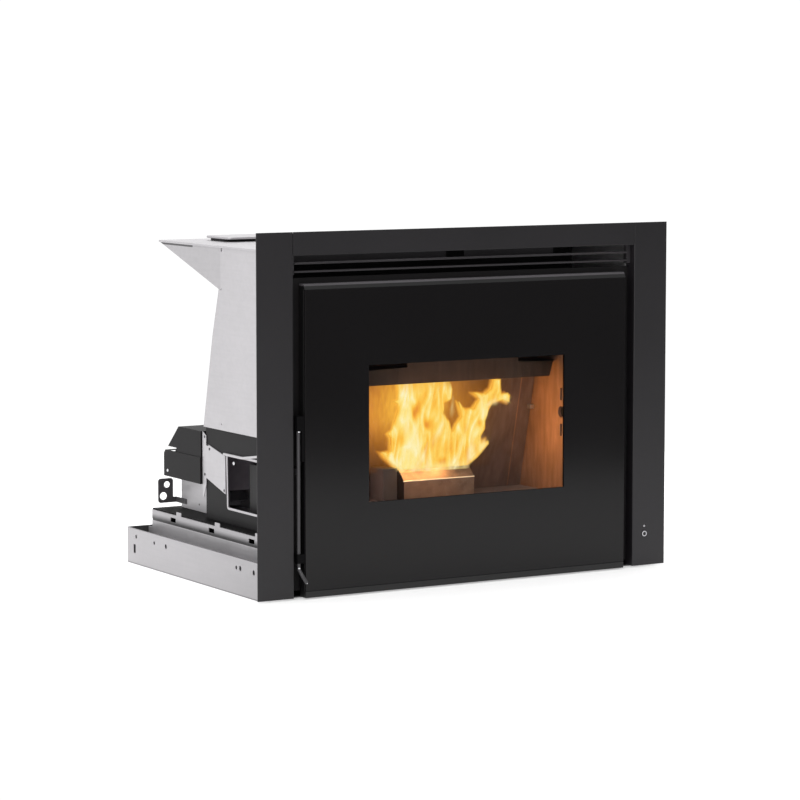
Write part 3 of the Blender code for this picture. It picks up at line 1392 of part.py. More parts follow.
def make_smoke_path():
    left, right = SMOKE_CENTRE - SMOKE_DUCT_HALF, SMOKE_CENTRE + SMOKE_DUCT_HALF
    reach = SMOKE_DUCT_DEPTH
    leg_half = SMOKE_FAN_RADIUS - 2 * SHEET
    leg_top = SMOKE_LEVEL + leg_half
    fan_front = SMOKE_FAN_FRONT
    near = SHEET

    def profile(inset):
        start = REST if inset == 0 else -FAR / 4
        open_top = SMOKE_DUCT_TOP - inset
        port_low = DEFLECTOR_TOP + FAR / 2 if inset else ON_FLOOR
        low = ON_FLOOR + inset
        rear = fan_front - REST if inset == 0 else fan_front + FAR
        face = shell_rear(low) + REST
        points = [(face + inset, low), (rear, low), (rear, leg_top - inset)]
        points += [
            (shell_rear(leg_top) + reach - inset, leg_top - inset),
            (shell_rear(open_top) + reach - inset, open_top),
            (shell_rear(open_top) + start, open_top),
        ]
        if inset:
            points += [
                (shell_rear(port_low) + start, port_low),
                (shell_rear(port_low) + REST + inset, port_low),
            ]
        return points

    duct = plate("smoke_duct", "X", profile(0), left, right)
    cut(duct, plate("smoke_duct_space", "X", profile(near), left + near, right - near))
    paint(GALVANISED, duct)

    fan_rear = fan_front + SMOKE_FAN_DEPTH
    centre = (SMOKE_CENTRE, SMOKE_LEVEL)
    flue_level = ON_FLOOR + FLUE_BOX_HALF
    box_right = FLUE_CENTRE + FLUE_BOX_HALF
    housing = round_bar("smoke_fan_housing", "Y", centre, SMOKE_FAN_RADIUS, fan_front, fan_rear, 32)
    fuse(
        housing,
        box("flue_box", (SMOKE_CENTRE, fan_front, ON_FLOOR), (box_right, fan_rear, ON_FLOOR + 2 * FLUE_BOX_HALF)),
    )
    cut(
        housing,
        round_bar("scroll_space", "Y", centre, SMOKE_FAN_RADIUS - PLATE, fan_front + PLATE, fan_rear - PLATE, 32),
        box(
            "flue_box_space",
            (SMOKE_CENTRE, fan_front + PLATE, ON_FLOOR + PLATE),
            (box_right - PLATE, fan_rear - PLATE, ON_FLOOR + 2 * FLUE_BOX_HALF - PLATE),
        ),
        round_bar("smoke_inlet", "Y", centre, FAN_INLET_RADIUS, fan_front - FAR, fan_front + FAR / 2),
        round_bar("smoke_shaft_hole", "Y", centre, FAN_SHAFT_RADIUS + PIN_PLAY, fan_rear - FAR / 2, fan_rear + FAR, 12),
        round_bar(
            "flue_hole",
            "Y",
            (FLUE_CENTRE, flue_level),
            FLUE_RADIUS - SHEET,
            fan_rear - FAR / 2,
            fan_rear + FAR,
        ),
    )
    paint(GALVANISED, housing)

    spigot = ring(
        "flue_spigot",
        "Y",
        (FLUE_CENTRE, flue_level),
        FLUE_RADIUS,
        FLUE_RADIUS - SHEET,
        fan_rear + REST,
        CARRIAGE_REAR,
        32,
    )
    fuse(
        spigot,
        ring(
            "flue_flange",
            "Y",
            (FLUE_CENTRE, flue_level),
            FLUE_FLANGE,
            FLUE_RADIUS - SHEET / 2,
            fan_rear + REST,
            fan_rear + REST + PLATE,
            32,
        ),
    )
    paint(GALVANISED, spigot)

    motor_front = fan_rear + REST
    motor_rear = motor_front + SMOKE_MOTOR_LENGTH
    socket = FAR / 2
    motor = round_bar("smoke_fan_motor", "Y", centre, SMOKE_MOTOR_RADIUS, motor_front, motor_rear)
    bevel(motor, PLATE, 2)
    cut(
        motor,
        round_bar(
            "smoke_motor_socket", "Y", centre, FAN_SHAFT_RADIUS + PIN_PLAY, motor_front - FAR, motor_front + socket, 12
        ),
    )
    paint(MOTOR_BLACK, motor)
    wheel = impeller(
        "smoke_impeller",
        "Y",
        centre,
        SMOKE_IMPELLER_RADIUS,
        fan_front + PLATE + TURN_PLAY,
        fan_rear - PLATE - TURN_PLAY,
        fan_front + PLATE + TURN_PLAY,
        motor_front + socket - PLATE,
    )
    carry(add_empty("smoke_fan_axis", (SMOKE_CENTRE, fan_front, SMOKE_LEVEL), DATUM), wheel)


def make_room_fan():
    outer = -BODY_HALF
    inner = COVER_INNER_X
    wall = BODY_SHEET
    slot_low, slot_high = COVER_SLOT

    def profile(inset):
        low = COVER_LOW if inset == 0 else COVER_LOW - FAR
        return [
            (COVER_FRONT + inset, low),
            (COVER_REAR - inset, low),
            (COVER_REAR - inset, COVER_SHOULDER),
            (COVER_TOP_REAR - inset, COVER_TOP - inset),
            (COVER_FRONT + inset, COVER_TOP - inset),
        ]

    cover = plate("fan_cover", "X", profile(0), outer, inner)
    step = plate(
        "cover_step",
        "X",
        [
            (COVER_FRONT, COVER_LOW),
            (COVER_REAR, COVER_LOW),
            (COVER_REAR, COVER_SHOULDER),
            (COVER_REAR - (slot_low - COVER_SHOULDER), slot_low),
            (COVER_FRONT, slot_low),
        ],
        outer - COVER_STEP,
        outer + wall,
    )
    step_space = box(
        "step_space",
        (outer - COVER_STEP + wall, COVER_FRONT + wall, COVER_LOW - FAR),
        (outer + FAR, COVER_REAR - wall, slot_low - 2 * wall),
    )
    fuse(cover, step)
    cut(
        cover,
        plate("cover_space", "X", profile(wall), outer + wall, inner - wall),
        step_space,
        box("cover_slot", (outer - FAR, COVER_SLOT_FRONT, slot_low), (inner + FAR, COVER_REAR + FAR, slot_high)),
    )
    paint(BLACK_STEEL, cover)

    fan_front = COVER_FRONT + wall + REST
    fan_top = COVER_TOP - wall - REST
    shoulder = slot_low - 2 * REST
    step_depth = COVER_TOP_REAR - 2 * wall
    housing = plate(
        "room_fan_housing",
        "X",
        [
            (fan_front, ON_FLOOR),
            (ROOM_FAN_REAR, ON_FLOOR),
            (ROOM_FAN_REAR, COVER_SHOULDER - wall),
            (step_depth, shoulder - wall),
            (step_depth, fan_top),
            (fan_front, fan_top),
        ],
        ROOM_FAN_OUTER_X,
        ROOM_FAN_INNER_X,
    )
    centre = ((fan_front + ROOM_FAN_REAR) / 2, ON_FLOOR + ROOM_IMPELLER_RADIUS + 2 * TURN_PLAY + SHEET)
    drum = ROOM_IMPELLER_RADIUS + 2 * TURN_PLAY
    cut(
        housing,
        round_bar("fan_drum", "X", centre, drum, ROOM_FAN_OUTER_X + SHEET, ROOM_FAN_INNER_X - SHEET, 32),
        box(
            "fan_outlet",
            (ROOM_FAN_OUTER_X + SHEET, fan_front - FAR, centre[1] - drum + SHEET),
            (ROOM_FAN_INNER_X - SHEET, centre[0], centre[1]),
        ),
        round_bar("fan_shaft_hole", "X", centre, FAN_SHAFT_RADIUS + PIN_PLAY, ROOM_FAN_INNER_X - FAR, ROOM_FAN_INNER_X + FAR, 12),
        box(
            "fan_upper_space",
            (ROOM_FAN_OUTER_X + SHEET, fan_front + SHEET, centre[1]),
            (ROOM_FAN_INNER_X - SHEET, step_depth - SHEET, fan_top - SHEET),
        ),
    )
    paint(GALVANISED, housing)

    motor_left = COVER_INNER_X + REST
    socket = FAR / 2
    motor = round_bar("room_fan_motor", "X", centre, ROOM_MOTOR_RADIUS, motor_left, motor_left + ROOM_MOTOR_LENGTH)
    bevel(motor, PLATE, 2)
    bore = FAN_SHAFT_RADIUS + PIN_PLAY
    cut(motor, round_bar("room_motor_socket", "X", centre, bore, motor_left - FAR, motor_left + socket, 12))
    cut(cover, round_bar("cover_shaft_hole", "X", centre, bore, COVER_INNER_X - FAR / 2, COVER_INNER_X + FAR, 12))
    paint(MOTOR_BLACK, motor)
    wheel = impeller(
        "room_impeller",
        "X",
        centre,
        ROOM_IMPELLER_RADIUS,
        ROOM_FAN_OUTER_X + SHEET + TURN_PLAY,
        ROOM_FAN_INNER_X - SHEET - TURN_PLAY,
        ROOM_FAN_OUTER_X + SHEET + TURN_PLAY,
        motor_left + socket - PLATE,
    )
    carry(add_empty("room_fan_axis", (ROOM_FAN_INNER_X, *centre), DATUM), wheel)


def make_left_side():
    inner = SHELL_HALF + REST
    top = PANEL_LOW - REST
    duct = box("left_duct", (-DUCT_HALF, BEHIND_PLATE, ON_FLOOR), (-inner, DUCT_REAR, top))
    rim = SERVICE_RIM
    opening = [
        (SERVICE_FRONT + rim, SERVICE_LOW + rim),
        (SERVICE_REAR_LOW - rim, SERVICE_LOW + rim),
        (SERVICE_REAR - rim, SERVICE_TOP - rim),
        (SERVICE_FRONT + rim, SERVICE_TOP - rim),
    ]
    cut(
        duct,
        box(
            "left_duct_space",
            (BODY_SHEET - DUCT_HALF, BEHIND_PLATE + BODY_SHEET, ON_FLOOR + BODY_SHEET),
            (-inner - BODY_SHEET, DUCT_REAR - BODY_SHEET, top - BODY_SHEET),
        ),
        plate(
            "service_opening",
            "X",
            rounded(opening, SERVICE_CORNER - rim),
            -DUCT_HALF - FAR,
            FAR / 4 - DUCT_HALF,
        ),
        box(
            "duct_inlet",
            (ROOM_FAN_OUTER_X + 2 * SHEET, DUCT_REAR - FAR / 4, ON_FLOOR + 2 * SHEET),
            (-inner - 2 * SHEET, DUCT_REAR + FAR, ON_FLOOR + ROOM_IMPELLER_RADIUS),
        ),
    )
    paint(BLACK_STEEL, duct)

    face = -DUCT_HALF - REST
    frame = plate(
        "service_frame",
        "X",
        rounded(
            [
                (SERVICE_FRONT, SERVICE_LOW),
                (SERVICE_REAR_LOW, SERVICE_LOW),
                (SERVICE_REAR, SERVICE_TOP),
                (SERVICE_FRONT, SERVICE_TOP),
            ],
            SERVICE_CORNER,
        ),
        face - SHEET,
        face,
        [rounded(opening, SERVICE_CORNER - rim)],
    )
    flange = plate(
        "service_flange",
        "X",
        [
            (FLANGE_REAR, FLANGE_LOW),
            (FLANGE_REAR, FLANGE_LOW + FLANGE_WIDTH),
            (FLANGE_KNEE, FLANGE_LOW + FLANGE_WIDTH),
            (FLANGE_RAISED, FLANGE_LOW + FLANGE_RISE + FLANGE_WIDTH),
            (SERVICE_FRONT, FLANGE_LOW + FLANGE_RISE + FLANGE_WIDTH),
            (SERVICE_FRONT, FLANGE_LOW + FLANGE_RISE),
            (FLANGE_RAISED, FLANGE_LOW + FLANGE_RISE),
            (FLANGE_KNEE, FLANGE_LOW),
        ],
        face - SHEET - FLANGE_PROUD,
        face,
    )
    fuse(frame, flange)
    bracket = plate("side_bracket", "X", [*BRACKET_TOP, *BRACKET_LOW], face - SHEET, face)
    strip = plate(
        "bracket_strip",
        "X",
        [
            (STRIP_REAR - STRIP_WIDTH, BRACKET_LOW[1][1] - STRIP_TAPER),
            (STRIP_REAR - STRIP_FOOT, STRIP_LOW),
            (STRIP_REAR, STRIP_LOW),
            (STRIP_REAR, STRIP_TOP),
            (STRIP_REAR - STRIP_WIDTH, STRIP_TOP - STRIP_WIDTH / 2),
        ],
        face - SHEET,
        face,
    )
    lap = box(
        "bracket_lap",
        (face - SHEET, BRACKET_TOP[0][0] - PLATE, BRACKET_LOW[1][1] + PLATE),
        (face, STRIP_REAR - STRIP_WIDTH / 2, BRACKET_TOP[0][1] - PLATE),
    )
    fuse(bracket, strip, lap)
    for index, place in enumerate(BRACKET_HOLES):
        cut(
            bracket,
            round_bar(f"bracket_hole_{index}", "X", place, SIDE_SCREW_RADIUS, face - FAR, face + FAR / 4, 10),
        )
    paint(GALVANISED, frame, bracket)

    low, high = CONTROL_BOX_X
    near, far = CONTROL_BOX_Y
    floor = ON_FLOOR + BODY_SHEET + REST
    control = box("control_box", (low, near, floor), (high, far, CONTROL_BOX_TOP))
    bevel(control, SHEET, 2)
    paint(MOULDING, control)

    plate_rear = CABLE_PLATE_FRONT + SHEET
    arm_right = ROOM_FAN_OUTER_X - REST
    bracket_outline = rounded(
        rectangle((CABLE_PLATE_LEFT, CABLE_PLATE_LOW), (CABLE_PLATE_RIGHT, CABLE_PLATE_TOP)), 0.005
    )
    cable = plate("cable_bracket", "Y", bracket_outline, CABLE_PLATE_FRONT, plate_rear)
    foot = box(
        "cable_foot",
        (CABLE_PLATE_LEFT / 2 + CABLE_PLATE_RIGHT / 2, CABLE_PLATE_FRONT, CABLE_PLATE_LOW),
        (arm_right, plate_rear, CABLE_ARM_TOP),
    )
    arm = box(
        "cable_arm",
        (arm_right - SHEET, ROOM_FAN_REAR - CABLE_ARM_LAP, CABLE_PLATE_LOW),
        (arm_right, plate_rear, CABLE_ARM_TOP),
    )
    fuse(cable, foot, arm)
    for index, (inset, level, radius) in enumerate(CABLE_HOLES):
        cut(
            cable,
            round_bar(
                f"cable_hole_{index}",
                "Y",
                (CABLE_PLATE_LEFT + inset, level),
                radius,
                CABLE_PLATE_FRONT - FAR,
                plate_rear + FAR,
                20,
            ),
        )
    paint(BLACK_STEEL, cable)


def make_right_side():
    inner = SHELL_HALF + REST
    cover = box("electrics_cover", (inner, BEHIND_PLATE, ON_FLOOR), (DUCT_HALF, DUCT_REAR, PANEL_LOW - REST))
    cut(
        cover,
        box(
            "electrics_space",
            (inner - FAR, BEHIND_PLATE + BODY_SHEET, ON_FLOOR - FAR),
            (DUCT_HALF - BODY_SHEET, DUCT_REAR - BODY_SHEET, PANEL_LOW - REST - BODY_SHEET),
        ),
    )
    paint(BLACK_STEEL, cover)
    across = INLET_ACROSS
    half, tall = INLET_WIDTH / 2, INLET_HEIGHT / 2
    front = DUCT_REAR + REST
    rear = front + INLET_DEPTH
    level = PANEL_LOW - tall - STRIP_WIDTH / 2
    inlet = box("mains_inlet", (across - half, front, level - tall), (across + half, rear, level + tall))
    bevel(inlet, PLATE, 2)
    socket = box(
        "inlet_socket",
        (across - half + 2 * PLATE, rear - INLET_DEPTH / 2, level - tall + 2 * PLATE),
        (across + half - 2 * PLATE, rear + FAR, level + tall - 2 * PLATE),
    )
    cut(inlet, socket)
    paint(MOULDING, inlet)


def make_door():
    hinge = add_empty("door_axis", (HINGE_X, HINGE_DEPTH, 0), DATUM)
    bevel_low = DOOR_TOP - TOP_BEVEL
    lip_top = HEARTH_GAP + BOTTOM_LIP
    frame = plate(
        "door_frame",
        "X",
        [
            (-DOOR_PROUD, HEARTH_GAP),
            (DOOR_REAR, HEARTH_GAP),
            (DOOR_REAR, DOOR_TOP),
            (TOP_BEVEL_SLOPE - DOOR_PROUD, DOOR_TOP),
            (-DOOR_PROUD, bevel_low),
            (SKIN_FRONT, bevel_low),
            (SKIN_FRONT, lip_top),
            (-DOOR_PROUD, lip_top),
        ],
        DOOR_LEFT,
        DOOR_RIGHT,
    )
    hole_low, hole_high = grown((WINDOW_LEFT, WINDOW_LOW), (WINDOW_RIGHT, WINDOW_HIGH), WINDOW_MARGIN)
    seal_half = SHELL_HALF - FIREBOX_PLATE + SEAL_OUTSET
    seal_low = (-seal_half, SHELL_FLOOR - SEAL_OUTSET)
    seal_high = (seal_half, SHELL_CEILING + SEAL_OUTSET)
    pad_low, pad_high = grown(seal_low, seal_high, SEAL_WIDTH + SEAL_PAD_RIM)
    pocket = box(
        "door_pocket",
        (DOOR_LEFT + DOOR_SKIN, SKIN_REAR, HEARTH_GAP + DOOR_SKIN),
        (DOOR_RIGHT - DOOR_SKIN, DOOR_REAR + FAR, DOOR_TOP - DOOR_SKIN),
    )
    pad = box("seal_pad", (pad_low[0], SKIN_REAR - FAR, pad_low[1]), (pad_high[0], DOOR_REAR + 2 * FAR, pad_high[1]))
    cut(pocket, pad)
    window = box("window_hole", (hole_low[0], -FAR, hole_low[1]), (hole_high[0], DOOR_REAR + FAR, hole_high[1]))
    cut(frame, pocket, window)
    paint(DARK_STEEL, frame)
    glass = box(
        "door_glass", (DOOR_LEFT, -DOOR_PROUD, lip_top + REST), (DOOR_RIGHT, GLASS_REAR, bevel_low - REST)
    )
    paint(GLASS_BLACK, glass)
    outer_low, outer_high = grown(seal_low, seal_high, SEAL_WIDTH)
    seal = plate(
        "door_seal",
        "Y",
        rounded(rectangle(outer_low, outer_high), 2 * SEAL_WIDTH),
        DOOR_REAR + REST,
        DOOR_REAR + REST + SEAL_THICKNESS,
        [rounded(rectangle(seal_low, seal_high), SEAL_WIDTH)],
    )
    paint(SEAL_CORD, seal)
    carry(hinge, frame, glass, seal)

    half = HINGE_LUG_NECK / 2
    strip_rear = PLATE_FRONT - REST
    strip = box(
        "hinge_strip",
        (HINGE_X - half, strip_rear - BODY_SHEET, HINGE_LEVELS[0]),
        (HINGE_X + half, strip_rear, HINGE_LEVELS[1] + HINGE_LUG_PLATE),
    )
    paint(BRIGHT_ZINC, strip)
    for label, level in zip(("lower", "upper"), HINGE_LEVELS):
        lug_top = level + HINGE_LUG_PLATE
        block_low = lug_top + REST
        centre = (HINGE_X, HINGE_DEPTH)
        neck_rear = strip_rear - BODY_SHEET / 2
        fuse(
            strip,
            round_bar(f"hinge_lug_{label}", "Z", centre, HINGE_LUG_HEAD, level, lug_top, 20),
            box(f"lug_neck_{label}", (HINGE_X - half, HINGE_DEPTH, level), (HINGE_X + half, neck_rear, lug_top)),
            round_bar(
                f"hinge_pin_{label}",
                "Z",
                centre,
                HINGE_PIN_RADIUS,
                level + HINGE_LUG_PLATE / 2,
                block_low + HINGE_BLOCK_HEIGHT + PLATE,
                16,
            ),
        )
        block = box(
            f"hinge_block_{label}",
            (DOOR_RIGHT - DOOR_SKIN - REST - HINGE_BLOCK_WIDTH, SKIN_REAR + REST, block_low),
            (DOOR_RIGHT - DOOR_SKIN - REST, DOOR_REAR - REST, block_low + HINGE_BLOCK_HEIGHT),
        )
        bore = HINGE_PIN_RADIUS + PIN_PLAY
        cut(block, round_bar(f"hinge_bore_{label}", "Z", centre, bore, level - FAR, level + 2 * FAR, 16))
        paint(BRIGHT_ZINC, block)
        carry(hinge, block)
        cut(
            frame,
            box(
                f"hinge_notch_{label}",
                (HINGE_X + HINGE_LUG_HEAD + TURN_PLAY, SKIN_REAR, level - TURN_PLAY),
                (DOOR_RIGHT + FAR, DOOR_REAR + FAR, lug_top + TURN_PLAY),
            ),
        )
    make_latch(hinge)


def make_latch(hinge):
    """The closing rod at the door's free edge, its two holders and the keeper on the front plate."""
    near = DOOR_LEFT - REST
    far = near - LATCH_BLOCK_WIDTH
    half = LATCH_BLOCK_DEPTH / 2
    block_low = LATCH_ROD_TOP + REST
    holder = box("latch_bracket", (far, -half, block_low), (near, half, LATCH_BLOCK_TOP))
    collar_top = LATCH_COLLAR_LOW + LATCH_COLLAR_HEIGHT
    fuse(
        holder,
        box(
            "latch_web",
            (LATCH_X + LATCH_ROD_RADIUS + REST, -half, LATCH_BLOCK_LOW),
            (near, half, LATCH_BLOCK_TOP - PLATE),
        ),
        box(
            "latch_strip",
            (near - SHEET, -half, LATCH_COLLAR_LOW + PLATE),
            (near, -TURN_PLAY, LATCH_BLOCK_LOW + PLATE),
        ),
        box("latch_collar", (far, -half, LATCH_COLLAR_LOW), (near, half, collar_top)),
    )
    bore = LATCH_ROD_RADIUS + PIN_PLAY
    cut(holder, round_bar("collar_bore", "Z", (LATCH_X, 0), bore, LATCH_COLLAR_LOW - FAR, collar_top + FAR, 16))
    paint(BLACK_STEEL, holder)

    axis = add_empty("latch_axis", (LATCH_X - HINGE_X, -HINGE_DEPTH, LATCH_ROD_LOW), hinge)
    rod = bent_bar(
        "latch_rod",
        [
            (LATCH_X, 0, LATCH_ROD_TOP),
            (LATCH_X, 0, LATCH_ROD_LOW),
            (LATCH_X + LEVER_REACH / 6, -LEVER_PROUD * 0.8, LATCH_ROD_LOW - LEVER_PROUD * 0.8),
            (LATCH_X + LEVER_REACH, -LEVER_PROUD, LEVER_TIP),
        ],
        LATCH_ROD_RADIUS,
    )
    fuse(
        rod,
        box(
            "latch_cam",
            (LATCH_X - LATCH_CAM_THICKNESS / 2, 0, LATCH_CAM_LOW),
            (LATCH_X + LATCH_CAM_THICKNESS / 2, LATCH_CAM_REACH, LATCH_CAM_LOW + LATCH_CAM_HEIGHT),
        ),
    )
    paint(BLACK_STEEL, rod)
    carry(hinge, holder)
    carry(axis, rod)


def make_button():
    lamp_level = BUTTON_LEVEL + LAMP_RISE
    front = PLATE + REST
    rear = front + HOUSING_DEPTH
    housing = box(
        "button_housing",
        (BUTTON_X - HOUSING_HALF, front, BUTTON_LEVEL - HOUSING_HALF),
        (BUTTON_X + HOUSING_HALF, rear, lamp_level + HOUSING_HALF / 2),
    )
    seat = BUTTON_LENGTH - BUTTON_PROUD + BUTTON_TRAVEL + REST
    cut(
        housing,
        round_bar("button_bore", "Y", (BUTTON_X, BUTTON_LEVEL), BUTTON_RADIUS + 2 * PIN_PLAY, -FAR, seat),
        round_bar("lamp_bore", "Y", (BUTTON_X, lamp_level), LAMP_RADIUS + PIN_PLAY, -FAR, rear / 2 + REST, 16),
    )
    paint(MOULDING, housing)
    lamp = round_bar("lamp_lens", "Y", (BUTTON_X, lamp_level), LAMP_RADIUS, -REST, rear / 2, 16)
    paint(LAMP_LENS, lamp)
    button = round_bar(
        "power_button", "Y", (BUTTON_X, BUTTON_LEVEL), BUTTON_RADIUS, -BUTTON_PROUD, BUTTON_LENGTH - BUTTON_PROUD
    )
    paint(BUTTON_PLASTIC, button)
    carry(add_empty("button_travel", (BUTTON_X, 0, BUTTON_LEVEL), DATUM), button)


make_base()
make_slides()
make_carriage()
make_surround()
make_front()
make_body()
make_hopper()
make_firebox()
make_fire_tools()
make_feed()
make_smoke_path()
make_room_fan()
make_left_side()
make_right_side()
make_door()
make_button()
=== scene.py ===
"""Looks of a slide-out pellet fireplace insert: surround, printed glass door, lit fire, galvanised body.

Metres, +Z up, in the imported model's frame. at(across, depth, level) takes a place from the middle of the
surround, from its front face towards the back, and from the underside of the tray.
"""

import json
import math
import random

import bmesh
import bpy
import numpy as np
from mathutils import Matrix, Vector, noise


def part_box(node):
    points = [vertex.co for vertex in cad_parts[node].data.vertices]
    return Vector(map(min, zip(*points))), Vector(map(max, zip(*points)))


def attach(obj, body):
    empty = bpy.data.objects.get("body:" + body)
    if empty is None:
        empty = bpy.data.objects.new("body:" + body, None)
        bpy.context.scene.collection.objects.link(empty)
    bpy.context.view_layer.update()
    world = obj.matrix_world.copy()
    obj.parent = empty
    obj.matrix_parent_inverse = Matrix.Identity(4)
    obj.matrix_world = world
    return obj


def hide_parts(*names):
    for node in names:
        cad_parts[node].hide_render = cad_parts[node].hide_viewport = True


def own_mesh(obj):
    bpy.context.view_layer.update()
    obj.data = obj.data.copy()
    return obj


bl_info = {
    "name": "Pellet Fireplace Insert",
    "version": (1, 0, 0),
    "blender": (4, 5, 0),
    "location": "View3D > Sidebar > Fireplace",
    "description": "Builds the finished look of a pellet fireplace insert round its packed model",
    "category": "Object",
}

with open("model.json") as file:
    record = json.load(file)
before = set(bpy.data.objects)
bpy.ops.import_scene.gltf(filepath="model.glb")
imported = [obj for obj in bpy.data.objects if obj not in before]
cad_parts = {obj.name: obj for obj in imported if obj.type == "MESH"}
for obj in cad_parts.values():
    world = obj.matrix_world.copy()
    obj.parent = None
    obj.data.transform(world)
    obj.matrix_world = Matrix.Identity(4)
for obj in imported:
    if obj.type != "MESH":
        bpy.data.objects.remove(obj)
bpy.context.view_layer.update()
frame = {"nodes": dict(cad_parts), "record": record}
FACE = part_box("left_jamb")[0].y
DOOR_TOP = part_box("door_frame")[1].z
BODY_OF = {node: body for body, nodes in frame["record"]["behaviour"]["bodies"].items() for node in nodes}

# The leaning back wall of the firebox, as (level, depth) at its foot and its head
BACK_FOOT = (0.0976, 0.185)
BACK_HEAD = (0.422, 0.107)
# The clear part of the glass, as (across, level)
WINDOW_LOW = (-0.196, 0.1515)
WINDOW_HIGH = (0.186, 0.377)
POT_CENTRE = -0.0045
POT_LEFT = -0.0745
POT_RIGHT = 0.0655
AUGER_LEVEL = 0.235
DUCT_WALL = 0.0008
TRAY_WALL = 0.0012
MERGE = 0.000002

# Flame tongues: brightness, width at the foot, then (across, level) from foot to tip
TONGUES = (
    (0.95, 0.0075, ((-0.0688, 0.1863), (-0.0885, 0.1998), (-0.1011, 0.2091), (-0.1151, 0.2203))),
    (0.85, 0.0065, ((-0.0641, 0.1876), (-0.0796, 0.2105), (-0.0880, 0.2330), (-0.0998, 0.2482))),
    (0.80, 0.0130, (
        (-0.0513, 0.1855), (-0.0640, 0.2230), (-0.0697, 0.2575), (-0.0753, 0.2895), (-0.0697, 0.3420),
    )),
    (0.90, 0.0095, (
        (-0.0431, 0.1860), (-0.0530, 0.2233), (-0.0615, 0.2580), (-0.0657, 0.2875), (-0.0600, 0.3400),
    )),
    (0.85, 0.0085, (
        (-0.0354, 0.1862), (-0.0397, 0.2232), (-0.0467, 0.2577), (-0.0383, 0.2890), (-0.0128, 0.3047),
        (0.0010, 0.3340),
    )),
    (0.80, 0.0110, (
        (-0.0168, 0.1837), (-0.0140, 0.2155), (0.0002, 0.2490), (0.0173, 0.2775), (0.0230, 0.3018),
        (0.0173, 0.3300),
    )),
    (0.75, 0.0075, (
        (0.0007, 0.1815), (0.0178, 0.2125), (0.0192, 0.2420), (0.0063, 0.2674), (-0.0137, 0.2930),
        (-0.0223, 0.3300),
    )),
    (1.00, 0.0120, ((-0.0479, 0.1848), (-0.0366, 0.1987), (-0.0281, 0.2129), (-0.0224, 0.2321))),
    (0.85, 0.0100, (
        (0.0253, 0.1841), (0.0425, 0.2127), (0.0510, 0.2467), (0.0524, 0.2762), (0.0394, 0.3002),
    )),
    (0.85, 0.0120, (
        (0.0475, 0.1819), (0.0676, 0.2153), (0.0762, 0.2494), (0.0848, 0.2811), (0.0804, 0.3011),
        (0.0659, 0.3073),
    )),
    (0.90, 0.0110, (
        (0.0516, 0.1854), (0.0717, 0.2162), (0.0832, 0.2502), (0.0932, 0.2817), (0.1077, 0.3032),
        (0.1149, 0.3360),
    )),
    (0.80, 0.0075, ((0.0934, 0.2893), (0.1137, 0.3001), (0.1298, 0.2960), (0.1405, 0.3022))),
    (0.75, 0.0065, ((0.0963, 0.2891), (0.1166, 0.2967), (0.1312, 0.2922), (0.1406, 0.2888))),
    (0.95, 0.0090, ((0.0409, 0.1857), (0.0668, 0.2001), (0.0870, 0.2161), (0.1009, 0.2277))),
    (0.85, 0.0120, (
        (0.0335, 0.1832), (0.0623, 0.2011), (0.0883, 0.2243), (0.1013, 0.2483), (0.0969, 0.2684),
    )),
    (0.35, 0.0085, ((0.0077, 0.1851), (0.0120, 0.2008), (0.0191, 0.2151), (0.0148, 0.2325))),
)
# Depths of the flame sheets, the corners of their grid as (across, level), and its cells
FLAME_DEPTHS = (0.124, 0.114, 0.104)
FLAME_LOW = (-0.150, 0.180)
FLAME_HIGH = (0.152, 0.345)
FLAME_CELL = 0.0011
# Thickness below which a sheet is cut away
FLAME_FAINTEST = 0.012
# Seed of the flames' noise, which would otherwise change from run to run
FLAME_SEED = 2
# Noise in the flame sheets, as (scale across, scale in height, slice), to move places or to vary the heat
GLOW_DRIFT = (26, 12, 2.1)
BODY_BEND = (30, 17, 7.3)
BODY_RIPPLE = (90, 55, 3.1)
BODY_STREAKS = (62, 15, 11.0)
BODY_THREADS = (150, 34, 17.0)
TONGUE_BEND = (34, 20, 5.0)
TONGUE_RIPPLE = (95, 60, 8.1)
TONGUE_BREAKS = (70, 26, 21.0)
# Outline of the whole fire as (across, level), from its left foot round to the right
FIRE_OUTLINE = (
    (-0.1081, 0.2168), (-0.0969, 0.2039), (-0.0814, 0.1920), (-0.0700, 0.1811), (0.0670, 0.1811),
    (0.0871, 0.1949), (0.1088, 0.2196), (0.1068, 0.2272), (0.0934, 0.2230), (0.0922, 0.2343),
    (0.0991, 0.2438), (0.0991, 0.2586), (0.1028, 0.2708), (0.1130, 0.2876), (0.1305, 0.2904),
    (0.1457, 0.2858), (0.1456, 0.2995), (0.1392, 0.3048), (0.1275, 0.3037), (0.1239, 0.3320),
    (0.1099, 0.3320), (0.1065, 0.3151), (0.0955, 0.3071), (0.0665, 0.3093), (0.0833, 0.2966),
    (0.0724, 0.2823), (0.0565, 0.2832), (0.0435, 0.2974), (0.0401, 0.2964), (0.0450, 0.2814),
    (0.0493, 0.2688), (0.0407, 0.2570), (0.0344, 0.2450), (0.0264, 0.2627), (0.0149, 0.2781),
    (0.0149, 0.2928), (0.0263, 0.3020), (0.0263, 0.3192), (0.0148, 0.3420), (-0.0842, 0.3420),
    (-0.0809, 0.3076), (-0.0912, 0.3057), (-0.0809, 0.2979), (-0.0792, 0.2832), (-0.0828, 0.2688),
    (-0.0870, 0.2545), (-0.0969, 0.2465), (-0.0893, 0.2376), (-0.0876, 0.2180), (-0.0997, 0.2158),
)
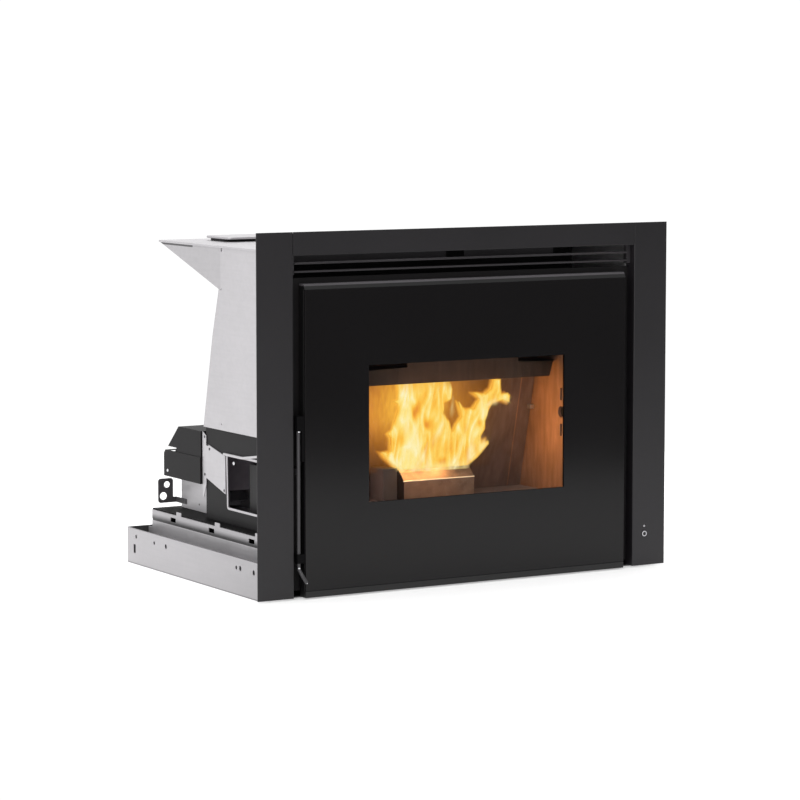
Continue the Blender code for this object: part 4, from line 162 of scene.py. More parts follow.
# Cooler and hotter places in the fire: (across, level, reach across, reach up, change in warmth)
FIRE_PATCHES = (
    (-0.0165, 0.2602, 0.0095, 0.0105, -0.42), (-0.0420, 0.2836, 0.0070, 0.0140, -0.40),
    (0.0869, 0.2556, 0.0064, 0.0078, -0.40), (0.0150, 0.1930, 0.0080, 0.0085, -0.40),
    (0.0264, 0.2140, 0.0100, 0.0120, -0.20), (0.0600, 0.2080, 0.0160, 0.0180, -0.12),
    (-0.0900, 0.2300, 0.0080, 0.0080, -0.25), (-0.0040, 0.2300, 0.0120, 0.0160, -0.10),
    (-0.0760, 0.1960, 0.0200, 0.0140, 0.34), (-0.0660, 0.3060, 0.0130, 0.0300, 0.24),
    (0.0750, 0.2450, 0.0100, 0.0200, 0.22), (-0.0560, 0.2400, 0.0200, 0.0300, 0.10),
    (-0.0250, 0.2960, 0.0300, 0.0200, -0.12), (-0.0700, 0.2340, 0.0070, 0.0120, -0.24),
    (-0.0221, 0.2164, 0.0060, 0.0120, -0.20), (0.0590, 0.2440, 0.0060, 0.0100, -0.16),
)
# Glow of hot gas behind the tongues, partly painted light of the fire on the back wall: centre and reach, as
# (across, level)
GLOW_CENTRE = (-0.045, 0.295)
GLOW_REACH = (0.094, 0.070)
# Colours of the embers and of the gas, as (heat, colour)
EMBER_HEAT = (
    (0.0, (0.12, 0.012, 0.0, 1)), (0.45, (0.95, 0.22, 0.02, 1)), (1.0, (1.0, 0.62, 0.16, 1)),
)
GAS_HEAT = (
    (0.0, (0.35, 0.090, 0.010, 1)), (0.16, (0.62, 0.200, 0.022, 1)), (0.30, (0.84, 0.320, 0.042, 1)),
    (0.46, (0.98, 0.500, 0.060, 1)), (0.60, (1.0, 0.640, 0.110, 1)), (0.78, (1.0, 0.800, 0.260, 1)),
    (1.0, (1.0, 0.920, 0.560, 1)),
)
DEEP_ORANGE = (1.0, 0.48, 0.09)
ORANGE = (1.0, 0.48, 0.13)
AMBER = (1.0, 0.62, 0.24)
ROSE = (1.0, 0.74, 0.66)
# Lights of the fire: name, place, target, size, spread in degrees, energy, colour
FIRE_LIGHTS = (
    ("fire_on_back", (-0.100, 0.090, 0.280), (-0.100, 0.3, 0.280), (0.05, 0.06), 100, 0.08, ORANGE),
    ("fire_on_side", (0.080, 0.066, 0.255), (0.3, 0.070, 0.255), (0.04, 0.17), 100, 0.118, DEEP_ORANGE),
    ("fire_on_lip", (-0.030, 0.096, 0.212), (-0.030, 0.098, 0.1), (0.10, 0.014), 80, 0.045, AMBER),
    ("fire_on_pot", (-0.030, 0.045, 0.190), (-0.020, 0.088, 0.150), (0.12, 0.02), 90, 0.005, ORANGE),
    ("fire_on_deflector", (-0.005, 0.030, 0.300), (-0.005, 0.052, 0.350), (0.20, 0.02), 80, 0.012, ORANGE),
    ("fire_on_seat", (-0.150, 0.060, 0.185), (-0.104, 0.130, 0.150), (0.04, 0.04), 110, 0.010, ROSE),
)


def at(across, depth, level):
    return Vector((across, depth + FACE, level))


def inset(node, wall, floor):
    """The corners of a node's box, drawn in by wall to the sides and by floor in height."""
    low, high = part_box(node)
    step = Vector((wall, wall, floor))
    return low + step, high - step


def turned_on(node):
    """The middle of a node's front, its radius and its depth, for a piece turned on the line to the back."""
    low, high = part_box(node)
    centre = Vector(((low.x + high.x) / 2, low.y, (low.z + high.z) / 2))
    return centre, (high.x - low.x) / 2, high.y - low.y


def back_wall(level):
    """Depth of the leaning back wall's face at a level."""
    share = (level - BACK_FOOT[0]) / (BACK_HEAD[0] - BACK_FOOT[0])
    return BACK_FOOT[1] + (BACK_HEAD[1] - BACK_FOOT[1]) * share


def shade(colour, share):
    return tuple(part * share for part in colour[:3]) + (1.0,)


class Level:
    """A shader socket whose arithmetic adds Math nodes."""

    def __init__(self, nodes, socket):
        self.nodes = nodes
        self.socket = socket

    def maths(self, operation, first, second, clamp=False):
        return self.nodes.node("Math", {0: first, 1: second}, operation=operation, use_clamp=clamp)

    def __add__(self, other):
        return self.maths("ADD", self, other)

    __radd__ = __add__

    def __mul__(self, other):
        return self.maths("MULTIPLY", self, other)

    __rmul__ = __mul__

    def __sub__(self, other):
        return self.maths("SUBTRACT", self, other)

    def __rsub__(self, other):
        return self.maths("SUBTRACT", other, self)

    def __gt__(self, other):
        return self.maths("GREATER_THAN", self, other)

    def __lt__(self, other):
        return self.maths("LESS_THAN", self, other)

    def clamped(self):
        return self.maths("ADD", self, 0.0, True)


class Nodes:
    """A node tree in the making."""

    def __init__(self, tree):
        self.tree = tree

    def node(self, kind, values=None, output=0, stops=(), **settings):
        """Adds a node with its settings, colour stops and inputs, and returns one of its outputs."""
        node = self.tree.nodes.new("ShaderNode" + kind)
        for name, setting in settings.items():
            setattr(node, name, setting)
        if stops:
            ramp = node.color_ramp.elements
            while len(ramp) < len(stops):
                ramp.new(0.5)
            for element, (position, colour) in zip(ramp, stops):
                element.position = position
                element.color = colour
        for key, value in (values or {}).items():
            if isinstance(value, Level):
                self.tree.links.new(value.socket, node.inputs[key])
            else:
                node.inputs[key].default_value = value
        return Level(self, node.outputs[output])


class Finish(Nodes):
    """A material in the making round one Principled shader, with its patterns on Object coordinates."""

    def __init__(self, name, **constants):
        self.material = bpy.data.materials.new(name)
        self.material.use_nodes = True
        super().__init__(self.material.node_tree)
        self.shader = self.tree.nodes["Principled BSDF"]
        for key, value in constants.items():
            self.shader.inputs[key.replace("_", " ")].default_value = value
        self.place = self.node("TexCoord", output="Object")

    def feed(self, key, value):
        self.tree.links.new(value.socket, self.shader.inputs[key])

    def mixed(self, share, first, second):
        """A colour from first to second as share goes from 0 to 1."""
        return self.node("Mix", {0: share, 6: first, 7: second}, 2, data_type="RGBA")

    def toned(self, share, colour, dark, light):
        """A colour from its dark shade to its light one as share goes from 0 to 1."""
        return self.mixed(share, shade(colour, dark), shade(colour, light))

    def marked(self, colour, marks):
        """A colour scaled by the level that marks gives from this finish, where 1 leaves it as it is."""
        if not marks:
            return colour
        return self.node("VectorMath", {0: colour, "Scale": marks(self)}, operation="SCALE")

    def spread(self, share, low, high):
        """share stretched so that low becomes 0 and high becomes 1, and held there."""
        return self.node("MapRange", {0: share, 1: low, 2: high, 3: 0.0, 4: 1.0}, clamp=True)

    def grain(self, scale, detail=2.0, stretch=None, roughness=0.5):
        vector = self.node("Mapping", {"Vector": self.place, "Scale": stretch}) if stretch else self.place
        values = {"Vector": vector, "Scale": scale, "Detail": detail, "Roughness": roughness}
        return self.node("TexNoise", values)

    def cells(self, scale):
        """A steady random number for each cell of a cellular pattern."""
        colour = self.node("TexVoronoi", {"Vector": self.place, "Scale": scale}, "Color")
        return self.node("SeparateColor", {0: colour})

    def axis(self, output):
        return self.node("SeparateXYZ", {0: self.place}, output)

    def bump(self, height, strength, distance):
        self.feed("Normal", self.node("Bump", {"Height": height, "Strength": strength, "Distance": distance}))

    def done(self, colour=None, roughness=None):
        if colour:
            self.feed("Base Color", colour)
        if roughness:
            self.feed("Roughness", roughness)
        return self.material


def powder_coat(name, colour, gloss, shine=0.5, marks=None):
    """Matt stove paint with a fine orange peel and a slow drift in tone."""
    coat = Finish(name, Specular_IOR_Level=shine)
    drift = coat.grain(4.0, 3.0)
    peel = coat.grain(620.0)
    dust = coat.grain(90.0, 4.0)
    tone = coat.spread(drift * 0.7 + dust * 0.3, 0.35, 0.65)
    coat.bump(peel, 0.10, 0.0004)
    paint = coat.marked(coat.toned(tone, colour, 0.86, 1.16), marks)
    return coat.done(paint, gloss + 0.10 * drift + 0.08 * (peel - 0.5))


def seat_front_darkening(coat):
    """The seat's front face beside the pot, made darker."""
    front_face = 0.1056 + FACE
    # Share by which the seat's front face is darkened
    soot = 0.55
    return 1.0 - soot * (coat.axis("Y") < front_face)


def door_painted_highlight(coat):
    """Painted highlight on the upper edge of the door's bevel, where the light catches it."""
    edge = DOOR_TOP - 0.0032
    # The paint's own share, and the gain of the painted highlight on the bevel's top edge
    paint, rubbed = 0.30, 8.0
    return paint + rubbed * (coat.axis("Z") > edge)


def duct_painted_light(coat):
    """Painted light inside the duct, which lightens the walls seen through its service opening."""
    # Gain of the painted light on the duct's inner walls
    dust = 42.0
    inside = 1.0
    for axis, low, high in zip("XYZ", *inset("left_duct", DUCT_WALL, DUCT_WALL)):
        place = coat.axis(axis)
        inside = (place > low) * (place < high) * inside
    return 1.0 + dust * inside


def galvanised(name, colour, marks=None, spangle=150.0):
    """Zinc-coated sheet: faint spangle, long rolling marks and small stains."""
    zinc = Finish(name, Metallic=0.62)
    cell = zinc.cells(spangle)
    rolling = zinc.grain(240.0, 3.0, (1.0, 0.05, 1.0))
    stain = zinc.spread(zinc.grain(6.0, 4.0), 0.30, 0.72)
    tone = zinc.spread(0.25 * cell + 0.35 * rolling + 0.40 * stain, 0.15, 0.80)
    zinc.bump(rolling * 0.6 + cell * 0.4, 0.05, 0.0003)
    sheet = zinc.marked(zinc.toned(tone, colour, 0.89, 1.06), marks)
    return zinc.done(sheet, 0.36 + 0.10 * cell + 0.10 * stain)


def rail_painted_shade_and_light(zinc):
    """Painted shade under the rolled joggle below the rail's windows, darkest towards its foot, and painted
    light on the web below it.
    """
    top, darkest, foot = 0.0862, 0.0775, 0.0736
    height = zinc.axis("Z")
    # Painted shade of the joggle from its top down to its darkest level; painted light below its foot
    fold = zinc.spread(height, top, darkest) * (height > foot)
    return 1.0 - 0.84 * fold + 0.06 * (height < foot)


def tray_painted_shade(zinc):
    """Painted shade on the cut edges and inner faces of the tray's walls, and painted shade growing slowly
    towards the front.
    """
    floor, foot_edge, top_edge = 0.001, 0.0022, 0.0008
    front_shade_start = 0.40 + FACE
    low, high = inset("base_tray", TRAY_WALL, 0.0)
    across = zinc.axis("X")
    depth = zinc.axis("Y")
    height = zinc.axis("Z")
    front = zinc.spread(depth, front_shade_start, FACE)
    inner = (across > low.x) * (across < high.x) * (depth > low.y) * (depth < high.y) * (height > floor)
    # Painted shade: darker top and bottom edges and darker towards the front, with the inner faces darker
    # still
    outer = 1.0 - 0.45 * (height > high.z - top_edge) - 0.40 * (height < foot_edge) - 0.14 * front
    return outer * (1.0 - 0.80 * inner)


def hopper_painted_shade(zinc):
    """Painted shade, nearly black, on the hopper's front, seen through the air outlet."""
    front_face = 0.215 + FACE
    # Share of painted shade on the hopper's front face
    paint = 0.975
    return 1.0 - paint * (zinc.axis("Y") < front_face)


def panel_painted_shade(zinc):
    """Painted shadow under the top panel's rim behind the fold, and painted shade on the wing for its slight
    turn.
    """
    rim_foot, rim_front = 0.5560, 0.362 + FACE
    wing_foot, wing_front = 0.488, 0.2600 + FACE
    height = zinc.axis("Z")
    depth = zinc.axis("Y")
    rim = (height > rim_foot) * (depth > rim_front)
    wing = (depth > wing_front) * (height > wing_foot)
    # Painted shadow under the rim and painted shade on the wing
    return 1.0 - 0.70 * rim - 0.09 * wing


def bright_metal(name, colour, roughness=0.24, glow=0.0):
    """Plated or turned steel of small fittings, with fine turning marks, and a painted glow where glow is
    set.
    """
    # glow is a painted glow: emission on metal that is no lamp
    plated = Finish(name, Metallic=1.0, Emission_Color=(1.0, 0.70, 0.42, 1), Emission_Strength=glow)
    marks = plated.grain(900.0, 2.0, (1.0, 1.0, 0.2))
    wear = plated.grain(60.0, 3.0)
    plated.bump(marks, 0.08, 0.0002)
    return plated.done(plated.toned(wear, colour, 0.8, 1.1), roughness + 0.14 * marks + 0.08 * wear)


def fired_steel(name, colour, soot):
    """Steel that has seen the fire: upright streaks of scale, soot in patches."""
    steel = Finish(name, Specular_IOR_Level=0.25)
    streak = steel.grain(120.0, 4.0, (1.0, 1.0, 0.12))
    patch = steel.spread(steel.grain(16.0, 5.0), 0.35, 0.75)
    speck = steel.grain(420.0)
    bare = steel.toned(steel.spread(streak, 0.3, 0.7), colour, 0.78, 1.18)
    steel.bump(streak * 0.5 + speck * 0.5, 0.18, 0.0006)
    return steel.done(steel.mixed(patch * soot, bare, shade(colour, 0.30)), 0.55 + 0.25 * patch)


def printed_glass(name, colour):
    """Ceramic glass printed black on its border, clear inside the window's edge."""
    pane = Finish(name, Specular_IOR_Level=0.26)
    clearness = 0.93
    inside = 1.0
    for axis, low, high in zip("XZ", WINDOW_LOW, WINDOW_HIGH):
        place = pane.axis(axis)
        inside = (place > low) * (place < high) * inside
    smear = pane.grain(7.0, 4.0)
    pane.feed("Alpha", 1.0 - clearness * inside)
    return pane.done(pane.toned(smear, colour, 0.85, 1.2), 0.13 + 0.07 * smear)


def cast_iron(name, colour):
    """Sooty cast iron, pitted, with lighter rubbed places and painted shade on its left side."""
    iron = Finish(name, Metallic=0.35)
    pit = iron.grain(380.0, 4.0)
    rub = iron.spread(iron.grain(40.0, 4.0), 0.35, 0.7)
    iron.bump(pit, 0.35, 0.0008)
    bare = iron.toned(rub, colour, 0.7, 1.25)
    # Painted shade: the left side face is made nearly black
    soot = iron.axis("X") < POT_LEFT + 0.0008
    return iron.done(iron.mixed(soot, bare, shade(colour, 0.12)), 0.62 - 0.2 * rub + 0.1 * pit)


def rope(name, colour):
    """Woven glass-fibre rope."""
    cord = Finish(name)
    weave = cord.node(
        "TexWave", {"Vector": cord.place, "Scale": 260.0, "Distortion": 1.5, "Detail": 1.0},
        wave_type="BANDS", bands_direction="DIAGONAL",
    )
    fuzz = cord.grain(900.0)
    cord.bump(weave * 0.7 + fuzz * 0.3, 0.6, 0.0009)
    return cord.done(cord.toned(weave, colour, 0.6, 1.9), 0.85 + 0.1 * fuzz)


def moulded(name, colour, roughness):
    """Moulded plastic, rubber or enamel with a fine skin."""
    skin = Finish(name)
    fine = skin.grain(700.0)
    slow = skin.grain(25.0, 3.0)
    skin.bump(fine, 0.08, 0.0003)
    return skin.done(skin.toned(slow, colour, 0.82, 1.2), roughness + 0.12 * slow + 0.05 * fine)


def glowing(name, strength):
    """Burning pellets: dark crust over an orange heart."""
    ember = Finish(name, Roughness=0.8, Emission_Strength=strength)
    heat = ember.spread(ember.grain(150.0, 4.0), 0.30, 0.72)
    ember.feed("Emission Color", ember.node("ValToRGB", {0: heat}, stops=EMBER_HEAT))
    ember.bump(heat, 0.4, 0.001)
    return ember.done(ember.mixed(heat, (0.02, 0.012, 0.008, 1), (0.30, 0.12, 0.04, 1)))


def burning_gas(name, strength):
    """Flame: clear at its edge, orange, then pale yellow where it is hottest."""
    gas = Finish(name, Base_Color=(0, 0, 0, 1), Specular_IOR_Level=0.0, Emission_Strength=strength)
    warmth = gas.node("Attribute", output="Fac", attribute_name="warmth")
    thickness = gas.node("Attribute", output="Fac", attribute_name="thickness")
    wisp = gas.grain(150.0, 3.0, (1.0, 1.0, 0.30), 0.6)
    heat = (warmth * (0.80 + 0.40 * wisp)).clamped()
    gas.feed("Alpha", (thickness * (0.75 + 0.50 * wisp)).clamped())
    gas.feed("Emission Color", gas.node("ValToRGB", {0: heat}, stops=GAS_HEAT))
    return gas.done()


def floor_finish(name, colour):
    """Pale studio floor."""
    ground = Finish(name, Specular_IOR_Level=0.3, Emission_Color=(1, 1, 1, 1), Emission_Strength=0.42)
    cloud = ground.grain(1.3)
    return ground.done(ground.toned(cloud, colour, 0.985, 1.0), 0.55 + 0.1 * cloud)


MADE = {}


def finish(name):
    """The named finish, made once from the colours in the panel."""
    if name not in MADE:
        colours = bpy.context.scene.insert_colours
        fire = bpy.context.scene.insert_fire
        # Painted shade: the back liner takes a darker, bluer copy of the liner's colour for the weaker fire
        # light on the back wall
        back_shaded_colour = [part * share for part, share in zip(colours.liner, (0.70, 0.85, 1.08))]
        recipes = {
            "surround_black": (powder_coat, colours.surround, 0.40),
            "door_black": (powder_coat, colours.door, 0.40, 0.5, door_painted_highlight),
            "cover_black": (powder_coat, colours.covers, 0.50, 0.17),
            "duct_black": (powder_coat, colours.covers, 0.50, 0.20, duct_painted_light),
            "plate_black": (powder_coat, shade(colours.covers, 0.5), 0.55, 0.10),
            "grille_black": (powder_coat, shade(colours.covers, 3.6), 0.45, 0.35),
            "bracket_grey": (powder_coat, (0.062, 0.058, 0.062), 0.5, 0.3),
            "inner_black": (powder_coat, colours.inner, 0.5, 0.25),
            "latch_black": (powder_coat, (0.0016, 0.0014, 0.0018), 0.55, 0.08),
            "rod_steel": (powder_coat, (0.034, 0.032, 0.035), 0.32, 0.6),
            "seat_iron": (powder_coat, (0.230, 0.180, 0.160), 0.6, 0.15, seat_front_darkening),
            "sheet_zinc": (galvanised, colours.zinc),
            "panel_zinc": (galvanised, colours.zinc, panel_painted_shade),
            "hopper_zinc": (galvanised, colours.zinc, hopper_painted_shade),
            "rail_zinc": (galvanised, shade(colours.zinc, 0.84), rail_painted_shade_and_light),
            "slide_zinc": (galvanised, shade(colours.zinc, 0.62)),
            "tray_zinc": (galvanised, colours.tray, tray_painted_shade, 120.0),
            # Painted highlight on the pot's lip: bright metal with a painted glow
            "hot_edge": (bright_metal, (0.95, 0.80, 0.62), 0.45, 0.75),
            "bright_zinc": (bright_metal, (0.78, 0.78, 0.80)),
            "dark_screw": (bright_metal, (0.10, 0.10, 0.105), 0.35),
            "slide_steel": (bright_metal, (0.15, 0.15, 0.155), 0.34),
            "fired_liner": (fired_steel, colours.liner, 0.35),
            "back_steel": (fired_steel, back_shaded_colour, 0.35),
            # Painted highlight along the back liner's seam: a lighter copy of the liner
            "rubbed_liner": (fired_steel, shade(colours.liner, 1.15), 0.1),
            "fired_plate": (fired_steel, colours.deflector, 0.4),
            "pot_iron": (cast_iron, colours.pot),
            "printed_glass": (printed_glass, colours.glass),
            "rope": (rope, (0.035, 0.034, 0.036)),
            "lid_rubber": (moulded, (0.018, 0.018, 0.018), 0.7),
            "motor_enamel": (moulded, (0.028, 0.028, 0.030), 0.35),
            "black_moulding": (moulded, (0.022, 0.022, 0.024), 0.38),
            "box_moulding": (moulded, (0.012, 0.011, 0.012), 0.5),
            "button_black": (moulded, (0.004, 0.004, 0.004), 0.35),
            "mark_grey": (moulded, (0.52, 0.51, 0.54), 0.4),
            "lamp_clear": (moulded, (0.40, 0.39, 0.41), 0.4),
            "ceramic": (moulded, (0.70, 0.66, 0.58), 0.7),
            "ember": (glowing, fire.ember_strength),
            "flame": (burning_gas, fire.flame_strength),
            "studio_floor": (floor_finish, colours.floor),
        }
        maker, *details = recipes[name]
        MADE[name] = maker(name, *details)
    return MADE[name]


def settle(name, bm, material, body, stands_for=None, crease=35):
    """Turns a bmesh into a piece that rides on a body, and can stand for a CAD node."""
    mesh = bpy.data.meshes.new(name)
    bm.normal_update()
    bm.to_mesh(mesh)
    bm.free()
    mesh.materials.append(finish(material))
    mesh.shade_smooth()
    mesh.set_sharp_from_angle(angle=math.radians(crease))
    piece = bpy.data.objects.new(name, mesh)
    bpy.context.scene.collection.objects.link(piece)
    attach(piece, body)
    if stands_for:
        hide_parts(stands_for)
    return piece


def rounded(bm, edges, width, segments=2, clamp=True):
    """Rounds edges of a bmesh."""
    bmesh.ops.bevel(
        bm, geom=edges, offset=width, offset_type="OFFSET", affect="EDGES",
        segments=segments, profile=0.5, material=-1, clamp_overlap=clamp,
    )


def softened(node, material, width):
    """A copy of a CAD node with its seams merged and its edges rounded, shown in the node's place."""
    bm = bmesh.new()
    bm.from_mesh(frame["nodes"][node].data)
    bmesh.ops.remove_doubles(bm, verts=bm.verts, dist=MERGE)
    bmesh.ops.dissolve_limit(bm, angle_limit=math.radians(0.5), verts=bm.verts, edges=bm.edges)
    edges = [e for e in bm.edges if len(e.link_faces) == 2 and e.calc_face_angle(0) > math.radians(35)]
    rounded(bm, edges, width, clamp=False)
    piece = settle(f"{node}_shown", bm, material, BODY_OF[node], node, 60)
    piece.modifiers.new("flat_faces", "WEIGHTED_NORMAL").keep_sharp = True


def soften_all(rows):
    """Shows rounded copies of the nodes that a table's rows name."""
    extra = bpy.context.scene.insert_sizes.extra_rounding
    for nodes, material, width in rows:
        for node in nodes.split():
            softened(node, material, width + extra)


def coat_node(node, material):
    """Gives a CAD node its finish."""
    shown = frame["nodes"][node]
    if not shown.material_slots:
        shown.data.materials.append(finish(material))
    for holder in shown.material_slots:
        holder.material = finish(material)


TURN = {
    "X": Matrix(((0, 0, 1), (1, 0, 0), (0, 1, 0))).to_4x4(),
    "Y": Matrix(((1, 0, 0), (0, 0, 1), (0, -1, 0))).to_4x4(),
    "-X": Matrix(((0, 0, -1), (-1, 0, 0), (0, 1, 0))).to_4x4(),
}


def lathe(section, centre, axis, steps):
    """A new bmesh turned from (radius, height) pairs, laid along an axis at centre."""
    bm = bmesh.new()
    corners = [bm.verts.new((radius, 0, height)) for radius, height in section]
    edges = [bm.edges.new(pair) for pair in zip(corners, corners[1:])]
    bmesh.ops.spin(
        bm, geom=corners + edges, cent=(0, 0, 0), axis=(0, 0, 1), angle=math.tau, steps=steps,
        use_merge=True, use_duplicate=False,
    )
    bmesh.ops.remove_doubles(bm, verts=bm.verts, dist=MERGE * 5)
    bmesh.ops.recalc_face_normals(bm, faces=bm.faces)
    bmesh.ops.transform(bm, matrix=Matrix.Translation(centre) @ TURN[axis], verts=bm.verts)
    return bm


def joined(parts):
    """One bmesh from several."""
    whole = parts[0]
    for part in parts[1:]:
        mesh = bpy.data.meshes.new("part")
        part.to_mesh(mesh)
        part.free()
        whole.from_mesh(mesh)
        bpy.data.meshes.remove(mesh)
    return whole


def block(low, high, rounding, segments=2):
    """A bmesh block between two corners with rounded edges."""
    bm = bmesh.new()
    bmesh.ops.create_cube(bm, size=1)
    low, high = Vector(low), Vector(high)
    stretch = Matrix.Translation((low + high) / 2) @ Matrix.Diagonal((*(high - low), 1))
    bmesh.ops.transform(bm, matrix=stretch, verts=bm.verts)
    rounded(bm, bm.edges[:], rounding, segments)
    return bm


def screw_head(centre, axis, radius, height):
    """A pan head with a cross recess, standing on a face."""
    crown = [
        (0.0, height), (radius * 0.55, height * 0.96), (radius * 0.85, height * 0.7),
        (radius, height * 0.25), (radius, 0.0),
    ]
    bm = lathe(crown, centre, axis, 20)
    stand = Matrix.Translation(centre) @ TURN[axis]
    lift = Matrix.Translation((0, 0, height * 0.78))
    size = Matrix.Diagonal((radius * 1.1, radius * 0.22, height * 0.5, 1))
    for turn in (0.4, math.pi / 2 + 0.4):
        slot = bmesh.new()
        bmesh.ops.create_cube(slot, size=1)
        spin = Matrix.Rotation(turn, 4, "Z")
        bmesh.ops.transform(slot, matrix=stand @ spin @ lift @ size, verts=slot.verts)
        bm = joined([bm, slot])
    return bm


def screws(name, places, axis, radius, height, material="bright_zinc"):
    """Screw heads on the insert, as one piece."""
    heads = [screw_head(place, axis, radius, height) for place in places]
    settle(name, joined(heads), material, "insert")


def area_light(name, place, target, size, energy):
    """A soft light at a place that looks at a target."""
    light = bpy.data.lights.new(name, "AREA")
    light.size = size
    light.energy = energy
    holder = bpy.data.objects.new(name, light)
    holder.location = place
    holder.rotation_euler = (Vector(target) - Vector(place)).to_track_quat("-Z", "Y").to_euler()
    bpy.context.scene.collection.objects.link(holder)
    return holder


# CAD nodes shown as rounded copies: nodes, finish, rounding
SOFT_SURROUND = (
    ("left_jamb", "surround_black", 0.0007),
    ("right_jamb top_rail", "surround_black", 0.0006),
    ("air_grille", "grille_black", 0.0004),
    ("front_plate", "inner_black", 0.0004),
)
SOFT_DOOR = (
    ("door_frame", "door_black", 0.0005),
    ("door_glass", "printed_glass", 0.0006),
    ("door_seal", "rope", 0.0014),
    ("hinge_block_lower hinge_block_upper", "bright_zinc", 0.0006),
    ("hinge_strip", "bright_zinc", 0.0004),
    ("latch_bracket", "latch_black", 0.0005),
)
SOFT_FIREBOX = (
    ("firebox_shell", "inner_black", 0.0005),
    # The back liner is shown in the painted-shade copy of the liner finish
    ("back_liner", "back_steel", 0.0006),
    ("left_liner right_liner", "fired_liner", 0.0005),
    ("flame_deflector", "fired_plate", 0.0006),
    ("pot_seat", "seat_iron", 0.0005),
    ("burn_pot", "pot_iron", 0.0007),
    ("ash_pan", "sheet_zinc", 0.0004),
)
SOFT_BODY = (
    ("left_panel right_panel", "panel_zinc", 0.0003),
    ("top_panel", "sheet_zinc", 0.0003),
    ("hopper", "hopper_zinc", 0.0003),
    ("hopper_lid", "sheet_zinc", 0.0010),
    ("lid_seal", "lid_rubber", 0.0010),
    ("left_duct", "duct_black", 0.0003),
    ("service_frame side_bracket", "sheet_zinc", 0.0004),
    ("fan_cover", "cover_black", 0.0003),
    ("room_fan_housing", "sheet_zinc", 0.0004),
    ("cable_bracket", "bracket_grey", 0.0004),
    ("electrics_cover", "cover_black", 0.0004),
    ("control_box", "box_moulding", 0.0005),
    ("mains_inlet", "black_moulding", 0.0005),
    ("smoke_duct", "sheet_zinc", 0.0003),
    ("smoke_fan_housing", "sheet_zinc", 0.0005),
)
SOFT_BASE = (
    ("base_tray", "tray_zinc", 0.0005),
    ("left_rail right_rail", "rail_zinc", 0.0003),
    ("floor_plate", "plate_black", 0.0004),
    ("outer_slide_left outer_slide_right", "slide_steel", 0.0003),
    ("middle_slide_left middle_slide_right inner_slide_left inner_slide_right", "slide_zinc", 0.0003),
)
# CAD nodes shown as they are: node, finish
PLAIN_NODES = (
    ("auger_screw", "bright_zinc"),
    ("smoke_impeller", "bright_zinc"),
    ("room_impeller", "bright_zinc"),
    ("button_housing", "black_moulding"),
)


def tongue_field(across, level, points, foot_width):
    """Closeness to a flame tongue's line, 1 on it and 0 at its edge, for arrays of places."""
    controls = [Vector(p) for p in points]
    samples = []
    for index in range(len(controls) - 1):
        before = controls[max(index - 1, 0)]
        start, end = controls[index], controls[index + 1]
        after = controls[min(index + 2, len(controls) - 1)]
        for step in range(12):
            t = step / 12
            bend = (
                2 * start + (end - before) * t + (2 * before - 5 * start + 4 * end - after) * t * t
                + (3 * start - before - 3 * end + after) * t ** 3
            ) / 2
            samples.append(bend)
    samples.append(controls[-1])
    best = np.zeros_like(across)
    rise = np.zeros_like(across)
    for index, sample in enumerate(samples):
        share = index / (len(samples) - 1)
        swell = 0.60 + 1.5 * share * (1 - share) + 0.45 * (1 - share)
        width = foot_width * swell * (1 - share ** 6) + 0.0010
        distance = np.hypot(across - sample.x, (level - sample.y) * 0.8)
        near = np.clip(1 - distance / width, 0, 1)
        rise = np.where(near > best, share, rise)
        best = np.maximum(best, near)
    return best, rise


def depth_inside(across, level, outline):
    """Distance from a closed outline's edge for arrays of places, above 0 inside it and below 0 outside."""
    inside = np.zeros(len(across), dtype=bool)
    nearest = np.full(len(across), 1.0)
    for start, end in zip(outline, outline[1:] + outline[:1]):
        run = np.array(end) - np.array(start)
        share = ((across - start[0]) * run[0] + (level - start[1]) * run[1]) / (run @ run)
        share = np.clip(share, 0, 1)
        away = np.hypot(across - start[0] - share * run[0], level - start[1] - share * run[1])
        nearest = np.minimum(nearest, away)
        crosses = (start[1] > level) != (end[1] > level)
        if run[1]:
            inside ^= crosses & (across < start[0] + run[0] * (level - start[1]) / run[1])
    return np.where(inside, nearest, -nearest)


def swirls(across, level, wide, tall, seed):
    """Smooth noise of three parts at each place, between about -1 and 1."""
    return np.array([noise.noise_vector(Vector((x * wide, z * tall, seed))) for x, z in zip(across, level)])


def smooth(value, low, high):
    """A smooth step from 0 at low to 1 at high."""
    share = np.clip((value - low) / (high - low), 0, 1)
    return share * share * (3 - 2 * share)


def patch_share(patch, across, level):
    """How far a patch of the fire counts at each place, 1 in its middle."""
    x, z, reach_x, reach_z = patch
    return np.exp(-((across - x) / reach_x) ** 2 - ((level - z) / reach_z) ** 2)


def glow_sheet(across, level):
    """Warmth and thickness of the back sheet: hot gas with no edge of its own, whose soft glow round the fire
    is also painted light of the fire on the back wall.
    """
    drift = swirls(across, level, *GLOW_DRIFT)[:, 0]
    over = ((across - GLOW_CENTRE[0]) / GLOW_REACH[0]) ** 2 + ((level - GLOW_CENTRE[1]) / GLOW_REACH[1]) ** 2
    glow = np.exp(-over * (0.85 + 0.25 * drift))
    inside = smooth(depth_inside(across, level, FIRE_OUTLINE), -0.006, 0.005)
    return 0.20 + 0.25 * np.maximum(glow, 0.9 * inside), np.maximum(glow, inside)


